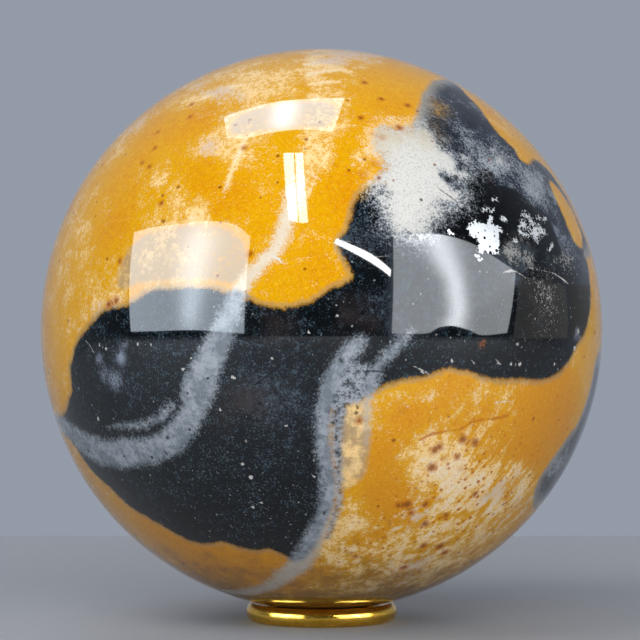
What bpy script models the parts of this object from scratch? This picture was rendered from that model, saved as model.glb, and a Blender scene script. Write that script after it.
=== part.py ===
"""Polished stone ball standing on a turned brass ring.

Metres, +Z up. The origin is the middle of the ring's flat underside, on the table, and
the ball's centre is straight above it.
"""

import math

import bmesh
import bpy

# Stone ball
BALL_DIAMETER = 0.100
BALL_SUBDIVISIONS = 5

# Brass ring: a round bar closed to a ring, with a flat foot below and a seat turned in its top
RING_OUTER_DIAMETER = 0.0270
RING_BAR_DIAMETER = 0.0036
FOOT_WIDTH = 0.0014
SEAT_DEPTH = 0.0004
SEAT_CLEARANCE = 0.0003
RING_SEGMENTS = 96
OUTER_SIDE_FACETS = 11
SEAT_FACETS = 4
INNER_SIDE_FACETS = 8

# What follows from them
BALL_RADIUS = BALL_DIAMETER / 2
BAR_RADIUS = RING_BAR_DIAMETER / 2
RING_MIDDLE_RADIUS = RING_OUTER_DIAMETER / 2 - BAR_RADIUS
FOOT_HALF_ANGLE = math.asin(FOOT_WIDTH / RING_BAR_DIAMETER)
BAR_HEIGHT = BAR_RADIUS * math.cos(FOOT_HALF_ANGLE)
SEAT_RADIUS = BALL_RADIUS + SEAT_CLEARANCE
BALL_TO_BAR = SEAT_RADIUS + BAR_RADIUS - SEAT_DEPTH
BALL_ABOVE_BAR = math.sqrt(BALL_TO_BAR**2 - RING_MIDDLE_RADIUS**2)
BALL_HEIGHT = BAR_HEIGHT + BALL_ABOVE_BAR

# Colour, roughness and metallic value of each finish
STONE = {"color": (0.62, 0.36, 0.06, 1.0), "roughness": 0.08, "metallic": 0.0}
BRASS = {"color": (0.72, 0.50, 0.16, 1.0), "roughness": 0.22, "metallic": 1.0}


def clear_scene():
    """Removes every object that the file opened with."""
    for found in list(bpy.data.objects):
        bpy.data.objects.remove(found)


def make_material(name, finish):
    """Returns a Principled BSDF material with the given finish."""
    material = bpy.data.materials.new(name)
    material.use_nodes = True
    shader = material.node_tree.nodes["Principled BSDF"]
    shader.inputs["Base Color"].default_value = finish["color"]
    shader.inputs["Roughness"].default_value = finish["roughness"]
    shader.inputs["Metallic"].default_value = finish["metallic"]
    return material


def add_part(name, builder, material):
    """Puts the shape held in a bmesh into the scene as one named, smooth-shaded object."""
    mesh = bpy.data.meshes.new(name)
    builder.to_mesh(mesh)
    builder.free()
    mesh.materials.append(material)
    mesh.shade_smooth()
    part = bpy.data.objects.new(name, mesh)
    bpy.context.scene.collection.objects.link(part)
    return part


def make_ball(material):
    """The stone ball, set down in the ring's seat."""
    builder = bmesh.new()
    bmesh.ops.create_icosphere(builder, subdivisions=BALL_SUBDIVISIONS, radius=BALL_RADIUS)
    ball = add_part("stone_ball", builder, material)
    ball.location = (0.0, 0.0, BALL_HEIGHT)
    return ball


def arc(centre, radius, start, end, facets):
    """Points of an arc about a (radius, height) centre, both ends included."""
    angles = [start + (end - start) * step / facets for step in range(facets + 1)]
    return [
        (centre[0] + radius * math.cos(angle), centre[1] + radius * math.sin(angle))
        for angle in angles
    ]


def ring_section():
    """Outline of the ring's bar as (radius, height), from the foot's outer corner up and round."""
    bar_centre = (RING_MIDDLE_RADIUS, BAR_HEIGHT)
    ball_centre = (0.0, BALL_HEIGHT)
    to_ball = math.atan2(BALL_ABOVE_BAR, -RING_MIDDLE_RADIUS)
    to_bar = to_ball - math.pi
    bar_share = (BALL_TO_BAR**2 + BAR_RADIUS**2 - SEAT_RADIUS**2) / (2 * BALL_TO_BAR * BAR_RADIUS)
    ball_share = (BALL_TO_BAR**2 + SEAT_RADIUS**2 - BAR_RADIUS**2) / (2 * BALL_TO_BAR * SEAT_RADIUS)
    seat_on_bar = math.acos(bar_share)
    seat_on_ball = math.acos(ball_share)
    foot_start = FOOT_HALF_ANGLE - math.pi / 2
    foot_end = 3 * math.pi / 2 - FOOT_HALF_ANGLE
    outer = arc(bar_centre, BAR_RADIUS, foot_start, to_ball - seat_on_bar, OUTER_SIDE_FACETS)
    seat = arc(ball_centre, SEAT_RADIUS, to_bar + seat_on_ball, to_bar - seat_on_ball, SEAT_FACETS)
    inner = arc(bar_centre, BAR_RADIUS, to_ball + seat_on_bar, foot_end, INNER_SIDE_FACETS)
    return outer + seat[1:-1] + inner


def make_ring(material):
    """The brass ring: its section turned once round the upright axis."""
    builder = bmesh.new()
    corners = [builder.verts.new((radius, 0.0, height)) for radius, height in ring_section()]
    edges = [
        builder.edges.new((corner, corners[(index + 1) % len(corners)]))
        for index, corner in enumerate(corners)
    ]
    bmesh.ops.spin(
        builder,
        geom=corners + edges,
        cent=(0.0, 0.0, 0.0),
        axis=(0.0, 0.0, 1.0),
        angle=2 * math.pi,
        steps=RING_SEGMENTS,
        use_merge=True,
    )
    bmesh.ops.recalc_face_normals(builder, faces=builder.faces)
    ring = add_part("brass_ring_stand", builder, material)
    ring.data.set_sharp_from_angle(angle=math.radians(30.0))
    return ring


def main():
    """Builds the ball and its ring."""
    clear_scene()
    make_ball(make_material("polished_stone", STONE))
    make_ring(make_material("polished_brass", BRASS))


main()
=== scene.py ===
"""Polished stone ball on a turned brass ring, on a pale table under soft studio light.

Lengths are in metres where a name says nothing else. Places on the ball are a longitude and
a latitude in degrees: (0, 0) faces the viewer, longitude grows to the viewer's right and
latitude upwards.
"""

import logging
import math
from collections.abc import Callable
from dataclasses import dataclass, field
from enum import Enum

import bmesh
import bpy
import numpy as np
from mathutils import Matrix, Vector


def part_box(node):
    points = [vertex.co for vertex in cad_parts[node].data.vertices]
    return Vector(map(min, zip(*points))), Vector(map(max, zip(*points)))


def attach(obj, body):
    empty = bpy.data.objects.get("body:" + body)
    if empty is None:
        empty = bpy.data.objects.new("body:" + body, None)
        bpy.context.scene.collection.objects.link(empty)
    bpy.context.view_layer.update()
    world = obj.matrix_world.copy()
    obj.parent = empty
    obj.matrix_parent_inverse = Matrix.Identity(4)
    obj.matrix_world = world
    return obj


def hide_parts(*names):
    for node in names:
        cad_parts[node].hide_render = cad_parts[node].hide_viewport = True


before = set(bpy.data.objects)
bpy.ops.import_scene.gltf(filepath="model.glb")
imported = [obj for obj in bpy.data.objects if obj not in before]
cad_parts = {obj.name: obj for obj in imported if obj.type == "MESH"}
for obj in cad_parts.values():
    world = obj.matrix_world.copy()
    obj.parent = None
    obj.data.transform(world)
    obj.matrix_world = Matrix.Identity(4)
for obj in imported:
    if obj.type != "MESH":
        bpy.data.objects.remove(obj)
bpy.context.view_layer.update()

MM = 0.001
NO_WIDTH_MM = -1.0
LEAST_SPREAD = 1e-6
LEAST_SQUARE = 1e-12

log = logging.getLogger("stone_ball")

Place = tuple[float, float]
Step = tuple[float, float, float]
Colour = tuple[float, float, float]
Socket = bpy.types.NodeSocket
Value = Socket | float | tuple[float, ...]


def linear(red: float, green: float, blue: float) -> Colour:
    """Turns a colour read from a screen, each part from 0 to 255, into linear light.

    Args:
        red: Screen value of red.
        green: Screen value of green.
        blue: Screen value of blue.

    Returns:
        The same colour as linear red, green and blue from 0 to 1.
    """
    parts = (red / 255, green / 255, blue / 255)
    return tuple(p / 12.92 if p <= 0.04045 else ((p + 0.055) / 1.055) ** 2.4 for p in parts)


def direction(longitude: float, latitude: float) -> Vector:
    """Unit vector from the ball's centre to a place on it."""
    across = math.radians(longitude)
    up = math.radians(latitude)
    return Vector((math.sin(across) * math.cos(up), -math.cos(across) * math.cos(up), math.sin(up)))


def deselect() -> None:
    """Leaves edit mode and deselects every object, so that the next operator acts on its own work."""
    if bpy.context.object and bpy.context.object.mode != "OBJECT":
        bpy.ops.object.mode_set(mode="OBJECT")
    bpy.ops.object.select_all(action="DESELECT")


def settle(piece: bpy.types.Object) -> None:
    """Moves an object's place, turn and size into its mesh.

    Args:
        piece: The object to leave at the origin, unturned and unscaled.
    """
    deselect()
    piece.select_set(True)
    bpy.context.view_layer.objects.active = piece
    bpy.ops.object.transform_apply(location=True, rotation=True, scale=True)


def smooth_curve(points: np.ndarray, closed: bool, steps: int) -> np.ndarray:
    """Curve through points that bends evenly from one to the next.

    Args:
        points: Rows of two coordinates.
        closed: True when the last point joins the first.
        steps: Points of the curve for each stretch between two of them.

    Returns:
        Rows of two coordinates and the number of points passed so far.
    """
    count = len(points)
    traced = []
    for first in range(count if closed else count - 1):
        around = [first - 1, first, first + 1, first + 2]
        around = [i % count if closed else min(max(i, 0), count - 1) for i in around]
        before, start, end, after = points[around]
        for step in range(steps):
            t = step / steps
            bend = (
                2 * start
                + (end - before) * t
                + (2 * before - 5 * start + 4 * end - after) * t**2
                + (3 * start - before - 3 * end + after) * t**3
            ) / 2
            traced.append((*bend, first + t))
    traced.append((*points[0 if closed else count - 1], count if closed else count - 1))
    return np.array(traced)


class Half(Enum):
    """The side of the ball on which an outline is drawn. The value is the sign of its Y."""

    FRONT = -1.0
    BACK = 1.0


@dataclass(frozen=True)
class Chart:
    """Flat chart of the ball's surface, drawn from the point opposite the middle of its half.

    Shapes keep their angles on it, and all but the far side of the ball is on it.
    """

    half: Half
    radius_mm: float
    least_nearness: float = 0.04

    def nearness(self, directions: np.ndarray) -> np.ndarray:
        """How near each direction is to the middle of the half: 2 there, about nought opposite it."""
        return np.maximum(1 + self.half.value * directions[:, 1], self.least_nearness)

    def flatten(self, directions: np.ndarray) -> np.ndarray:
        """Charts unit directions.

        Args:
            directions: Rows of x, y, z.

        Returns:
            Rows of two chart coordinates in millimetres.
        """
        nearness = self.nearness(directions)
        spread = np.linalg.norm(directions[:, (0, 2)], axis=1)
        outwards = directions[:, (0, 2)] / np.maximum(spread, LEAST_SPREAD)[:, None]
        reach = 2 * self.radius_mm * np.sqrt((2 - nearness) / nearness)
        return outwards * reach[:, None]

    def true_share(self, directions: np.ndarray) -> np.ndarray:
        """Length on the ball of one millimetre of the chart, at each direction."""
        return self.nearness(directions) / 2

    def trace(self, places: list[Place], closed: bool, steps: int = 4) -> np.ndarray:
        """Smooth curve through places, on the chart.

        Args:
            places: Longitude and latitude of each point.
            closed: True when the last point joins the first.
            steps: Points for each stretch between two places.

        Returns:
            Rows of two chart coordinates and the number of places passed so far.
        """
        rows = np.array([tuple(direction(*place)) for place in places])
        return smooth_curve(self.flatten(rows), closed, steps)


@dataclass(frozen=True)
class Outline:
    """Edge of one zone of the stone, as a closed curve."""

    places: list[Place]
    half: Half = Half.FRONT

    def depth(self, directions: np.ndarray, radius_mm: float) -> np.ndarray:
        """Distance to the edge in millimetres, above zero inside the zone.

        Args:
            directions: Unit directions of the ball's vertices.
            radius_mm: The ball's radius.

        Returns:
            One depth for each direction.
        """
        chart = Chart(self.half, radius_mm)
        flat = chart.flatten(directions)
        curve = chart.trace(self.places, closed=True)[:, :2]
        nearest = np.full(len(flat), np.inf)
        inside = np.zeros(len(flat), bool)
        for start, end in zip(curve[:-1], curve[1:]):
            away = distance_to_stretch(flat, start, end)[0]
            nearest = np.minimum(nearest, away)
            if start[1] == end[1]:
                continue
            crosses = (start[1] > flat[:, 1]) != (end[1] > flat[:, 1])
            at = start[0] + (flat[:, 1] - start[1]) * (end[0] - start[0]) / (end[1] - start[1])
            inside ^= crosses & (flat[:, 0] < at)
        return np.where(inside, nearest, -nearest) * chart.true_share(directions)


def distance_to_stretch(
    flat: np.ndarray, start: np.ndarray, end: np.ndarray
) -> tuple[np.ndarray, np.ndarray]:
    """Distance from points to a straight stretch.

    Args:
        flat: Rows of two coordinates.
        start: First end of the stretch.
        end: Second end of the stretch.

    Returns:
        The distances, and how far along the stretch the nearest point is, from 0 to 1.
    """
    along = end - start
    share = np.clip((flat - start) @ along / max(along @ along, LEAST_SQUARE), 0, 1)
    return np.linalg.norm(flat - start - share[:, None] * along, axis=1), share


@dataclass(frozen=True)
class Vein:
    """A band of one colour along a line: places with the band's half width there, in millimetres."""

    course: list[Step]
    half: Half = Half.FRONT
    end_reach_mm: float = 0.3

    def depth(self, directions: np.ndarray, radius_mm: float) -> np.ndarray:
        """Distance to the band's edge in millimetres, above zero inside the band.

        Args:
            directions: Unit directions of the ball's vertices.
            radius_mm: The ball's radius.

        Returns:
            One depth for each direction.
        """
        return self.measure(directions, radius_mm)[0]

    def measure(self, directions: np.ndarray, radius_mm: float) -> tuple[np.ndarray, np.ndarray, np.ndarray]:
        """Measures every direction against the band's middle line.

        Args:
            directions: Unit directions of the ball's vertices.
            radius_mm: The ball's radius.

        Returns:
            The depth inside the band, the distance to the line with a sign for its side, and the
            band's half width at the nearest point, which is below nought past the line's ends.
        """
        chart = Chart(self.half, radius_mm)
        flat = chart.flatten(directions)
        curve = chart.trace([step[:2] for step in self.course], closed=False)
        widths = np.interp(curve[:, 2], range(len(self.course)), [step[2] for step in self.course])
        share_of_ball = chart.true_share(directions)
        depth = np.full(len(flat), -np.inf)
        nearest = np.full(len(flat), np.inf)
        side = np.zeros(len(flat))
        width_there = np.zeros(len(flat))
        for start, end, width, next_width in zip(curve[:-1, :2], curve[1:, :2], widths[:-1], widths[1:]):
            away, along = distance_to_stretch(flat, start, end)
            away = away * share_of_ball
            width_here = width + (next_width - width) * along
            depth = np.maximum(depth, width_here - away)
            closer = away < nearest
            beyond = ((along <= 0) | (along >= 1)) & (away > width_here + self.end_reach_mm)
            ahead = end - start
            beside = flat - start
            cross = ahead[0] * beside[:, 1] - ahead[1] * beside[:, 0]
            side = np.where(closer, np.sign(cross) * away, side)
            width_there = np.where(closer, np.where(beyond, NO_WIDTH_MM, width_here), width_there)
            nearest = np.minimum(nearest, away)
        return depth, side, width_there


@dataclass(frozen=True)
class Cloud:
    """A soft round patch: its middle, its radius in degrees and how strong it is."""

    longitude: float
    latitude: float
    reach: float
    strength: float

    def density(self, directions: np.ndarray) -> np.ndarray:
        """Strength at each direction, which fades with distance from the middle."""
        cosine = np.clip(directions @ np.array(direction(self.longitude, self.latitude)), -1, 1)
        return self.strength * np.exp(-((np.degrees(np.arccos(cosine)) / self.reach) ** 2))


def clouds(*rows: tuple[float, float, float, float]) -> list[Cloud]:
    """Clouds from rows of longitude, latitude, reach and strength."""
    return [Cloud(*row) for row in rows]


def joined(shapes: list[Outline | Vein], directions: np.ndarray, radius_mm: float) -> np.ndarray:
    """Depth inside the union of several shapes."""
    return np.max([shape.depth(directions, radius_mm) for shape in shapes], axis=0)


def gathered(patches: list[Cloud], directions: np.ndarray) -> np.ndarray:
    """Summed strength of several clouds."""
    return np.sum([cloud.density(directions) for cloud in patches], axis=0)


CHARCOAL = [
    Outline([
        (-76, -19), (-72, -17.6), (-69, -16.9), (-65.5, -15.4), (-62.5, -13.2), (-60.6, -11.6), (-60.2, -9),
        (-59.8, -7), (-58.2, -4.8), (-56.3, -2.4), (-54, -0.4), (-51, 1.6), (-48, 3.6), (-45, 4.7),
        (-41, 5), (-38.5, 6.2), (-34, 8.2), (-28, 8.6), (-22, 8.6), (-18, 7.6), (-14, 6.4), (-11, 5.3),
        (-7, 4.9), (-3, 5.6), (-0.5, 6.9), (2, 8.5), (4.8, 9.7), (5.9, 10.8), (5, 12.5), (3.9, 15),
        (3.1, 17.3), (4.7, 19.5), (6, 22.3), (6.8, 25.3), (8.8, 28), (11, 29.5), (16, 29), (24, 26),
        (32, 24), (42, 24), (52, 24), (60, 20), (66, 15.6), (71.4, 14.5), (71, 11), (70, 7.8), (68, 3.6),
        (65, 0), (61.5, -2.3), (58.5, -4.8), (56, -7), (52, -8.7), (48, -9.4), (42, -9), (37, -9),
        (32, -8.1), (28, -7), (24, -6.7), (20.5, -7.9), (16, -8.6), (12.5, -9.4), (10, -10.6), (6, -11),
        (3, -12.5), (1.6, -16), (1.4, -22), (1.8, -28), (1.8, -33), (0.5, -37.5), (-1.5, -42), (-4, -46.5),
        (-7, -49.5), (-9.5, -49.6), (-11.5, -48.4), (-13.3, -47.3), (-15, -46.6), (-18, -47.3), (-22, -47),
        (-25.5, -45.8), (-28, -45), (-31, -45.5), (-35, -46), (-39, -45.4), (-42, -44), (-45.5, -41.9),
        (-50, -39.5), (-54, -37.8), (-57, -35.3), (-59.5, -32.4), (-63, -30.3), (-66, -27.6), (-68, -24.3),
        (-71, -22), (-75, -20.6),
    ]),
    Outline([
        (118, -8), (128, 6), (142, 12), (158, 9), (172, 14), (188, 10), (200, -2), (204, -18), (194, -32),
        (176, -40), (156, -38), (138, -34), (122, -24),
    ], Half.BACK),
]

SLATE = [
    Outline([
        (26, 45.3), (29, 48.2), (32, 51), (35.5, 54), (41, 56.6), (50, 59.8), (60, 61.2), (72, 62),
        (84, 61), (94, 56), (98, 48), (96, 38), (90, 28), (84, 20), (78, 15.5), (72.5, 14.5), (71.2, 11),
        (70, 7.5), (68, 3.6), (64, 0.5), (60, 6), (57, 14), (48, 14), (36, 14), (24, 18), (18, 28),
        (21, 36), (24, 40),
    ]),
    Outline([
        (74, -6), (72.8, -10), (71.5, -15), (69.5, -19), (66.5, -20.8), (64, -23.5), (61.8, -26.6),
        (60.3, -29.6), (60.6, -32), (63, -34.6), (66.5, -37), (71, -38.3), (78, -38), (86, -34), (92, -26),
        (93, -16), (88, -8), (80, -4),
    ]),
    Outline([
        (146, 38), (160, 34), (178, 38), (196, 44), (206, 54), (190, 62), (166, 58), (150, 50),
    ], Half.BACK),
]

SLATE_ISLANDS = [
    Outline([
        (56.2, 43.4), (56.9, 40.8), (58.4, 38.6), (57.6, 36.2), (60, 35.2), (64, 36), (68, 36.4),
        (72.5, 34), (74.5, 31), (75.8, 27), (76.4, 22), (77.5, 18.5), (80, 14), (88, 12), (100, 20),
        (106, 38), (102, 58), (92, 67), (80, 66), (72, 61), (68, 58.4), (63, 55.6), (59.6, 51), (57, 47),
    ]),
    Outline([
        (65.5, 28), (66.5, 30.5), (68.5, 31.2), (71, 30), (73.5, 27), (75, 23.5), (74.5, 20), (72.5, 17.6),
        (69.5, 16.6), (67.2, 17.6), (65.8, 19.5), (65.3, 23),
    ]),
]

SNOW = [
    Outline([
        (11, 30), (13, 32), (14.6, 34.3), (13.4, 36.5), (12.4, 38.2), (13.2, 41), (15, 43.6), (18, 44.2),
        (21, 43.2), (25, 44.6), (28, 45), (30, 42.5), (31, 39.5), (34, 37.8), (38, 37), (42, 37),
        (46, 37.3), (50, 36.6), (54, 35), (57, 32), (56, 28), (53, 27.5), (52, 30), (50, 33), (47, 33.3),
        (44.5, 33), (41.5, 33.7), (38.5, 33.4), (36, 31.8), (33.5, 30.3), (33, 27.5), (30.5, 25.4),
        (27, 23.8), (24, 22), (22.3, 20), (21, 18.5), (18.5, 17.8), (15.5, 19), (13.6, 21), (12.6, 24.5),
        (11.4, 27.5),
    ]),
]

ASH = [
    Outline([
        (14, 21), (13.4, 12), (12.8, 5), (13, 0.5), (17, -0.5), (22, 1), (27, 3), (33, 5), (38, 8),
        (43, 11.5), (47.5, 14.8), (47, 17.4), (42, 18.2), (38, 16.4), (33, 15.6), (28, 18.4), (22, 21),
        (18, 23),
    ]),
]

JET = [
    Outline([
        (22.4, 20), (24.5, 22.2), (27.5, 24), (31, 25.6), (33, 27.6), (34, 30.2), (35.6, 31), (37.2, 31.3),
        (38.5, 32.7), (40.2, 33.3), (42.4, 33), (43.3, 31.4), (43.4, 29.8), (45.4, 29.5), (48.4, 28.4),
        (50.6, 26.8), (52.9, 25.1), (55, 23.9), (56.6, 22.4), (57.3, 19.2), (57.9, 15.5), (56, 14.8),
        (52, 15.6), (48, 16.6), (45, 17.4), (42, 17.8), (38.8, 16.6), (36, 15), (31, 17), (27, 18.6),
        (24, 19.4),
    ]),
]

GRAVEL = [
    Outline([
        (2.3, -6.5), (5, -5.5), (9, -6), (11.4, -7.6), (9.8, -10.4), (8.2, -12.6), (5.5, -13.4),
        (3.2, -15.5), (2.2, -19), (1.5, -12),
    ]),
    Vein([
        (4.2, -12, 0.9), (3.4, -16, 0.9), (3.1, -20, 0.85), (3.3, -25, 0.8), (3.6, -30, 0.75),
        (3.8, -34, 0.6), (2.6, -39, 0.6), (1.4, -43, 0.5),
    ]),
]

# Beige zones. The first is real cream and sand-coloured stone. The second and third lie under the left and
# top softbox reflections, where the beige is a painted reflection that stands in for how those reflections
# wash out the yellow.
SAND_AND_PAINTED_REFLECTION = [
    Outline([
        (2, -14), (6, -13), (9.2, -12), (9.6, -18), (9.6, -24), (9, -28), (6.8, -30), (4.6, -31),
        (2.8, -27), (2.4, -20),
    ]),
    Outline([
        (-43, 8.5), (-38, 9.5), (-30, 10), (-22, 10), (-17, 9.5), (-14.5, 12), (-15.5, 17), (-19, 20),
        (-26, 21), (-34, 20), (-40, 18), (-43.5, 13),
    ]),
    Outline([
        (-23, 41.5), (-14, 42.5), (-5, 43.4), (1, 43.2), (4, 47), (2, 50.4), (-9, 50.6), (-20, 48.6),
        (-25, 45),
    ]),
]

AMBER = [
    Outline([
        (-2.6, 24), (-2, 28), (-0.9, 30.5), (1, 33), (1.9, 36.5), (2.6, 40), (3.6, 43.5), (5, 47.5),
        (7, 51.5), (8.2, 55.5), (9.6, 60), (13, 66), (20, 72), (32, 73), (46, 68), (54, 61), (42, 56),
        (35, 52), (31.5, 50), (27, 46.3), (22, 44), (15.5, 44.3), (13, 41), (12.5, 38), (13.3, 34.5),
        (11, 31), (9, 27), (7, 24), (6, 21), (4.6, 18.4), (3.9, 15), (5.4, 12.3), (6.2, 10.8), (3, 8),
        (0, 6), (-3, 5), (-7, 4.5), (-10, 6), (-9, 9), (-6.5, 12.5), (-5.5, 16), (-4.5, 20),
    ]),
]

WHITE_VEINS = [
    Vein([
        (-96, -15, 1.6), (-88, -17, 1.6), (-80, -18.5, 1.6), (-74, -19.3, 1.8), (-70, -20, 2.1),
        (-66, -21.5, 2.3), (-62, -22.8, 2.6), (-58, -23.8, 2.7), (-54, -24.3, 2.5), (-50, -24.6, 2.5),
        (-46, -24.1, 2.5), (-42, -23.6, 2.4), (-38, -23.2, 2.2), (-35, -22.2, 2.1), (-32, -20.8, 2.1),
        (-29.5, -18.9, 2.0), (-27.5, -16.9, 2.0), (-26, -14.8, 2.1), (-25, -12, 2.6), (-23.8, -9.5, 2.8),
        (-22.3, -6.5, 2.6), (-21, -3.8, 2.3), (-19.5, -1, 2.1), (-18.2, 2, 1.8), (-17, 5, 1.6),
        (-15.8, 7.5, 1.4), (-14.3, 10, 1.2), (-12.5, 12.3, 1.1), (-10.5, 14.3, 1.0), (-8.8, 16.3, 1.0),
        (-7.8, 19, 1.2), (-7, 22, 1.2), (-6.3, 25, 1.1), (-5.8, 28, 1.0),
    ]),
    Vein([
        (-50, -18.8, -0.4), (-46, -18.4, 0.1), (-42, -18.3, 0.35), (-38, -17.8, 0.4), (-35, -16.8, 0.5),
        (-32.5, -15.4, 0.5), (-30.5, -13.8, 0.3),
    ]),
    Vein([
        (7.6, -1.2, 0.6), (6.2, -2.4, 1.3), (4.8, -4, 1.1), (3.2, -6.6, 1.4), (1.9, -9.5, 1.4),
        (1, -12, 1.25), (0.4, -15, 1.1), (0.3, -18, 1.15), (0.4, -21, 1.2), (0.7, -24, 1.2),
        (1.2, -27, 1.2), (1.6, -30, 1.3), (1.7, -33, 1.3), (0.9, -36, 1.15), (0.2, -38.5, 1.3),
        (-1, -41, 1.5), (-2, -43.5, 1.6), (-3.2, -46, 1.7), (-5, -49, 1.9), (-8, -52.5, 2.0),
        (-12, -55.5, 1.7), (-16, -58.2, 1.4), (-21, -60.8, 1.2), (-30, -63.5, 1.2), (-44, -66, 1.2),
        (-60, -66, 1.2),
    ]),
    Vein([
        (17, 0.4, 0.3), (15, -1.6, 0.7), (13, -3.6, 0.8), (11, -5.6, 0.6), (9.9, -7.6, 0.8),
        (9.3, -9.4, 0.9), (8.9, -11.5, 0.7), (8.8, -14, 0.45), (9, -18, 0.25), (9.2, -21, 0.0),
    ]),
    Vein([
        (276, -18, 1.6), (262, -16, 1.8), (244, -20, 2.4), (226, -26, 2.8), (206, -25, 2.2),
        (190, -16, 1.8), (174, -4, 2.2), (160, 8, 1.8), (150, 20, 1.4), (140, 32, 1.0),
    ], Half.BACK),
]

PALE_BAND = [
    Vein([
        (-5.5, 25, 0.6), (-3.4, 30, 1.2), (-1.4, 33.5, 1.8), (-0.4, 37, 2.2), (0.6, 41, 2.4),
        (1.8, 46, 2.6), (3.4, 51, 3.0), (4.6, 56, 3.4), (5.6, 61, 4.0), (10, 68, 5.0), (22, 76, 6.0),
    ]),
]

PALE_STREAKS = [
    Vein([(16.8, -9, -0.7), (16.9, -14, -0.3), (16.6, -19, -0.6), (16.4, -24, -0.2), (16.2, -31, -0.8)]),
    Vein([(-19.5, 40, 0.3), (-20.4, 34, 0.5), (-21, 28, 0.3)]),
    Vein([(-4, 61.5, 0.3), (2, 63, 0.5), (8, 63.5, 0.4), (13, 63, 0.2)]),
    Vein([(-8, 66.5, 0.3), (0, 68, 0.5), (10, 68.6, 0.3)]),
    Vein([(-3, 57.4, 0.2), (2, 58, 0.4), (6, 58.2, 0.3)]),
    Vein([(-44, 52, 0.2), (-38, 55.5, 0.5), (-30, 57.6, 0.3)]),
]

SNOW_GAPS = clouds(
    (28.2, 31.4, 1.9, 1.0), (30.4, 29.4, 1.5, 0.7), (34, 34.2, 1.5, 0.8), (26.5, 33.5, 1.0, 0.6),
    (24.5, 26, 2.4, 0.3), (33.5, 40, 3, 0.5), (14, 28, 1.6, 0.35), (44, 34.6, 4, 0.35), (53, 32, 4, 0.5),
    (39, 35.5, 2.5, 0.3),
)

SILVER = [
    Outline([
        (30.8, 20.3), (31.6, 20.9), (32.4, 21.4), (33, 22), (33.8, 21.4), (35, 21.4), (36.2, 21.2),
        (36.8, 22.2), (37.4, 22.9), (38, 22.6), (37.4, 21.3), (38.6, 21), (39.4, 20.4), (40, 20.3),
        (39.8, 19.6), (38.8, 19), (38.6, 17.6), (38, 16.6), (37.7, 15.2), (36.5, 15.2), (35.8, 15.7),
        (35, 15.3), (34.4, 15.9), (33.5, 15.4), (32.7, 15.5), (32.9, 16.6), (33.3, 17.5), (32.4, 18.4),
        (31.3, 19), (31.5, 19.6),
    ]),
    Outline([
        (46.8, 23.3), (48, 23.8), (49.3, 23.6), (50.2, 22.6), (50.4, 21.8), (51.5, 21.2), (53, 20.9),
        (53.3, 20.2), (54, 19.8), (53.8, 19.1), (52.5, 19.3), (51.5, 18.9), (50.5, 18.5), (50, 17.6),
        (49.3, 17.9), (48.6, 18.8), (47.6, 19.3), (48.4, 20.2), (48.9, 21.4), (48.6, 22.7), (47.6, 22.8),
    ]),
    Outline([
        (44.4, 19.4), (44.8, 20.3), (45.6, 21), (46.4, 22), (47.4, 22), (47.8, 21), (47.2, 20.4),
        (46.2, 20.7), (45.6, 20.2), (46.4, 19.4), (47.4, 19.2), (47, 18.6), (45.8, 18.9), (45, 19.2),
    ]),
    Outline([(40.5, 22.4), (41.2, 22.9), (41.9, 22.6), (41.9, 21.8), (41.1, 21.8)]),
    Outline([(42.3, 17.7), (43, 18.3), (43.6, 18), (43.1, 17.4)]),
    Vein([(36.2, 24, 0.2), (37, 24.4, 0.35), (37.7, 24.6, 0.2)]),
    Vein([(38.2, 23.7, 0.15), (39.1, 24.2, 0.25)]),
    Vein([(39.6, 26.2, 0.12), (40.8, 26.7, 0.3)]),
    Vein([(54.6, 22.3, 0.25), (55.7, 22.6, 0.35)]),
    Vein([(52.5, 22.6, 0.15), (53.3, 22.8, 0.25)]),
    Vein([(53, 15.8, 0.12), (54.2, 16.5, 0.3), (55.3, 17.2, 0.2)]),
    Vein([(31.9, 14.9, 0.15), (32.8, 14.1, 0.3)]),
    Vein([(26.6, 19.5, 0.3), (27.4, 19, 0.15)]),
]

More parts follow.
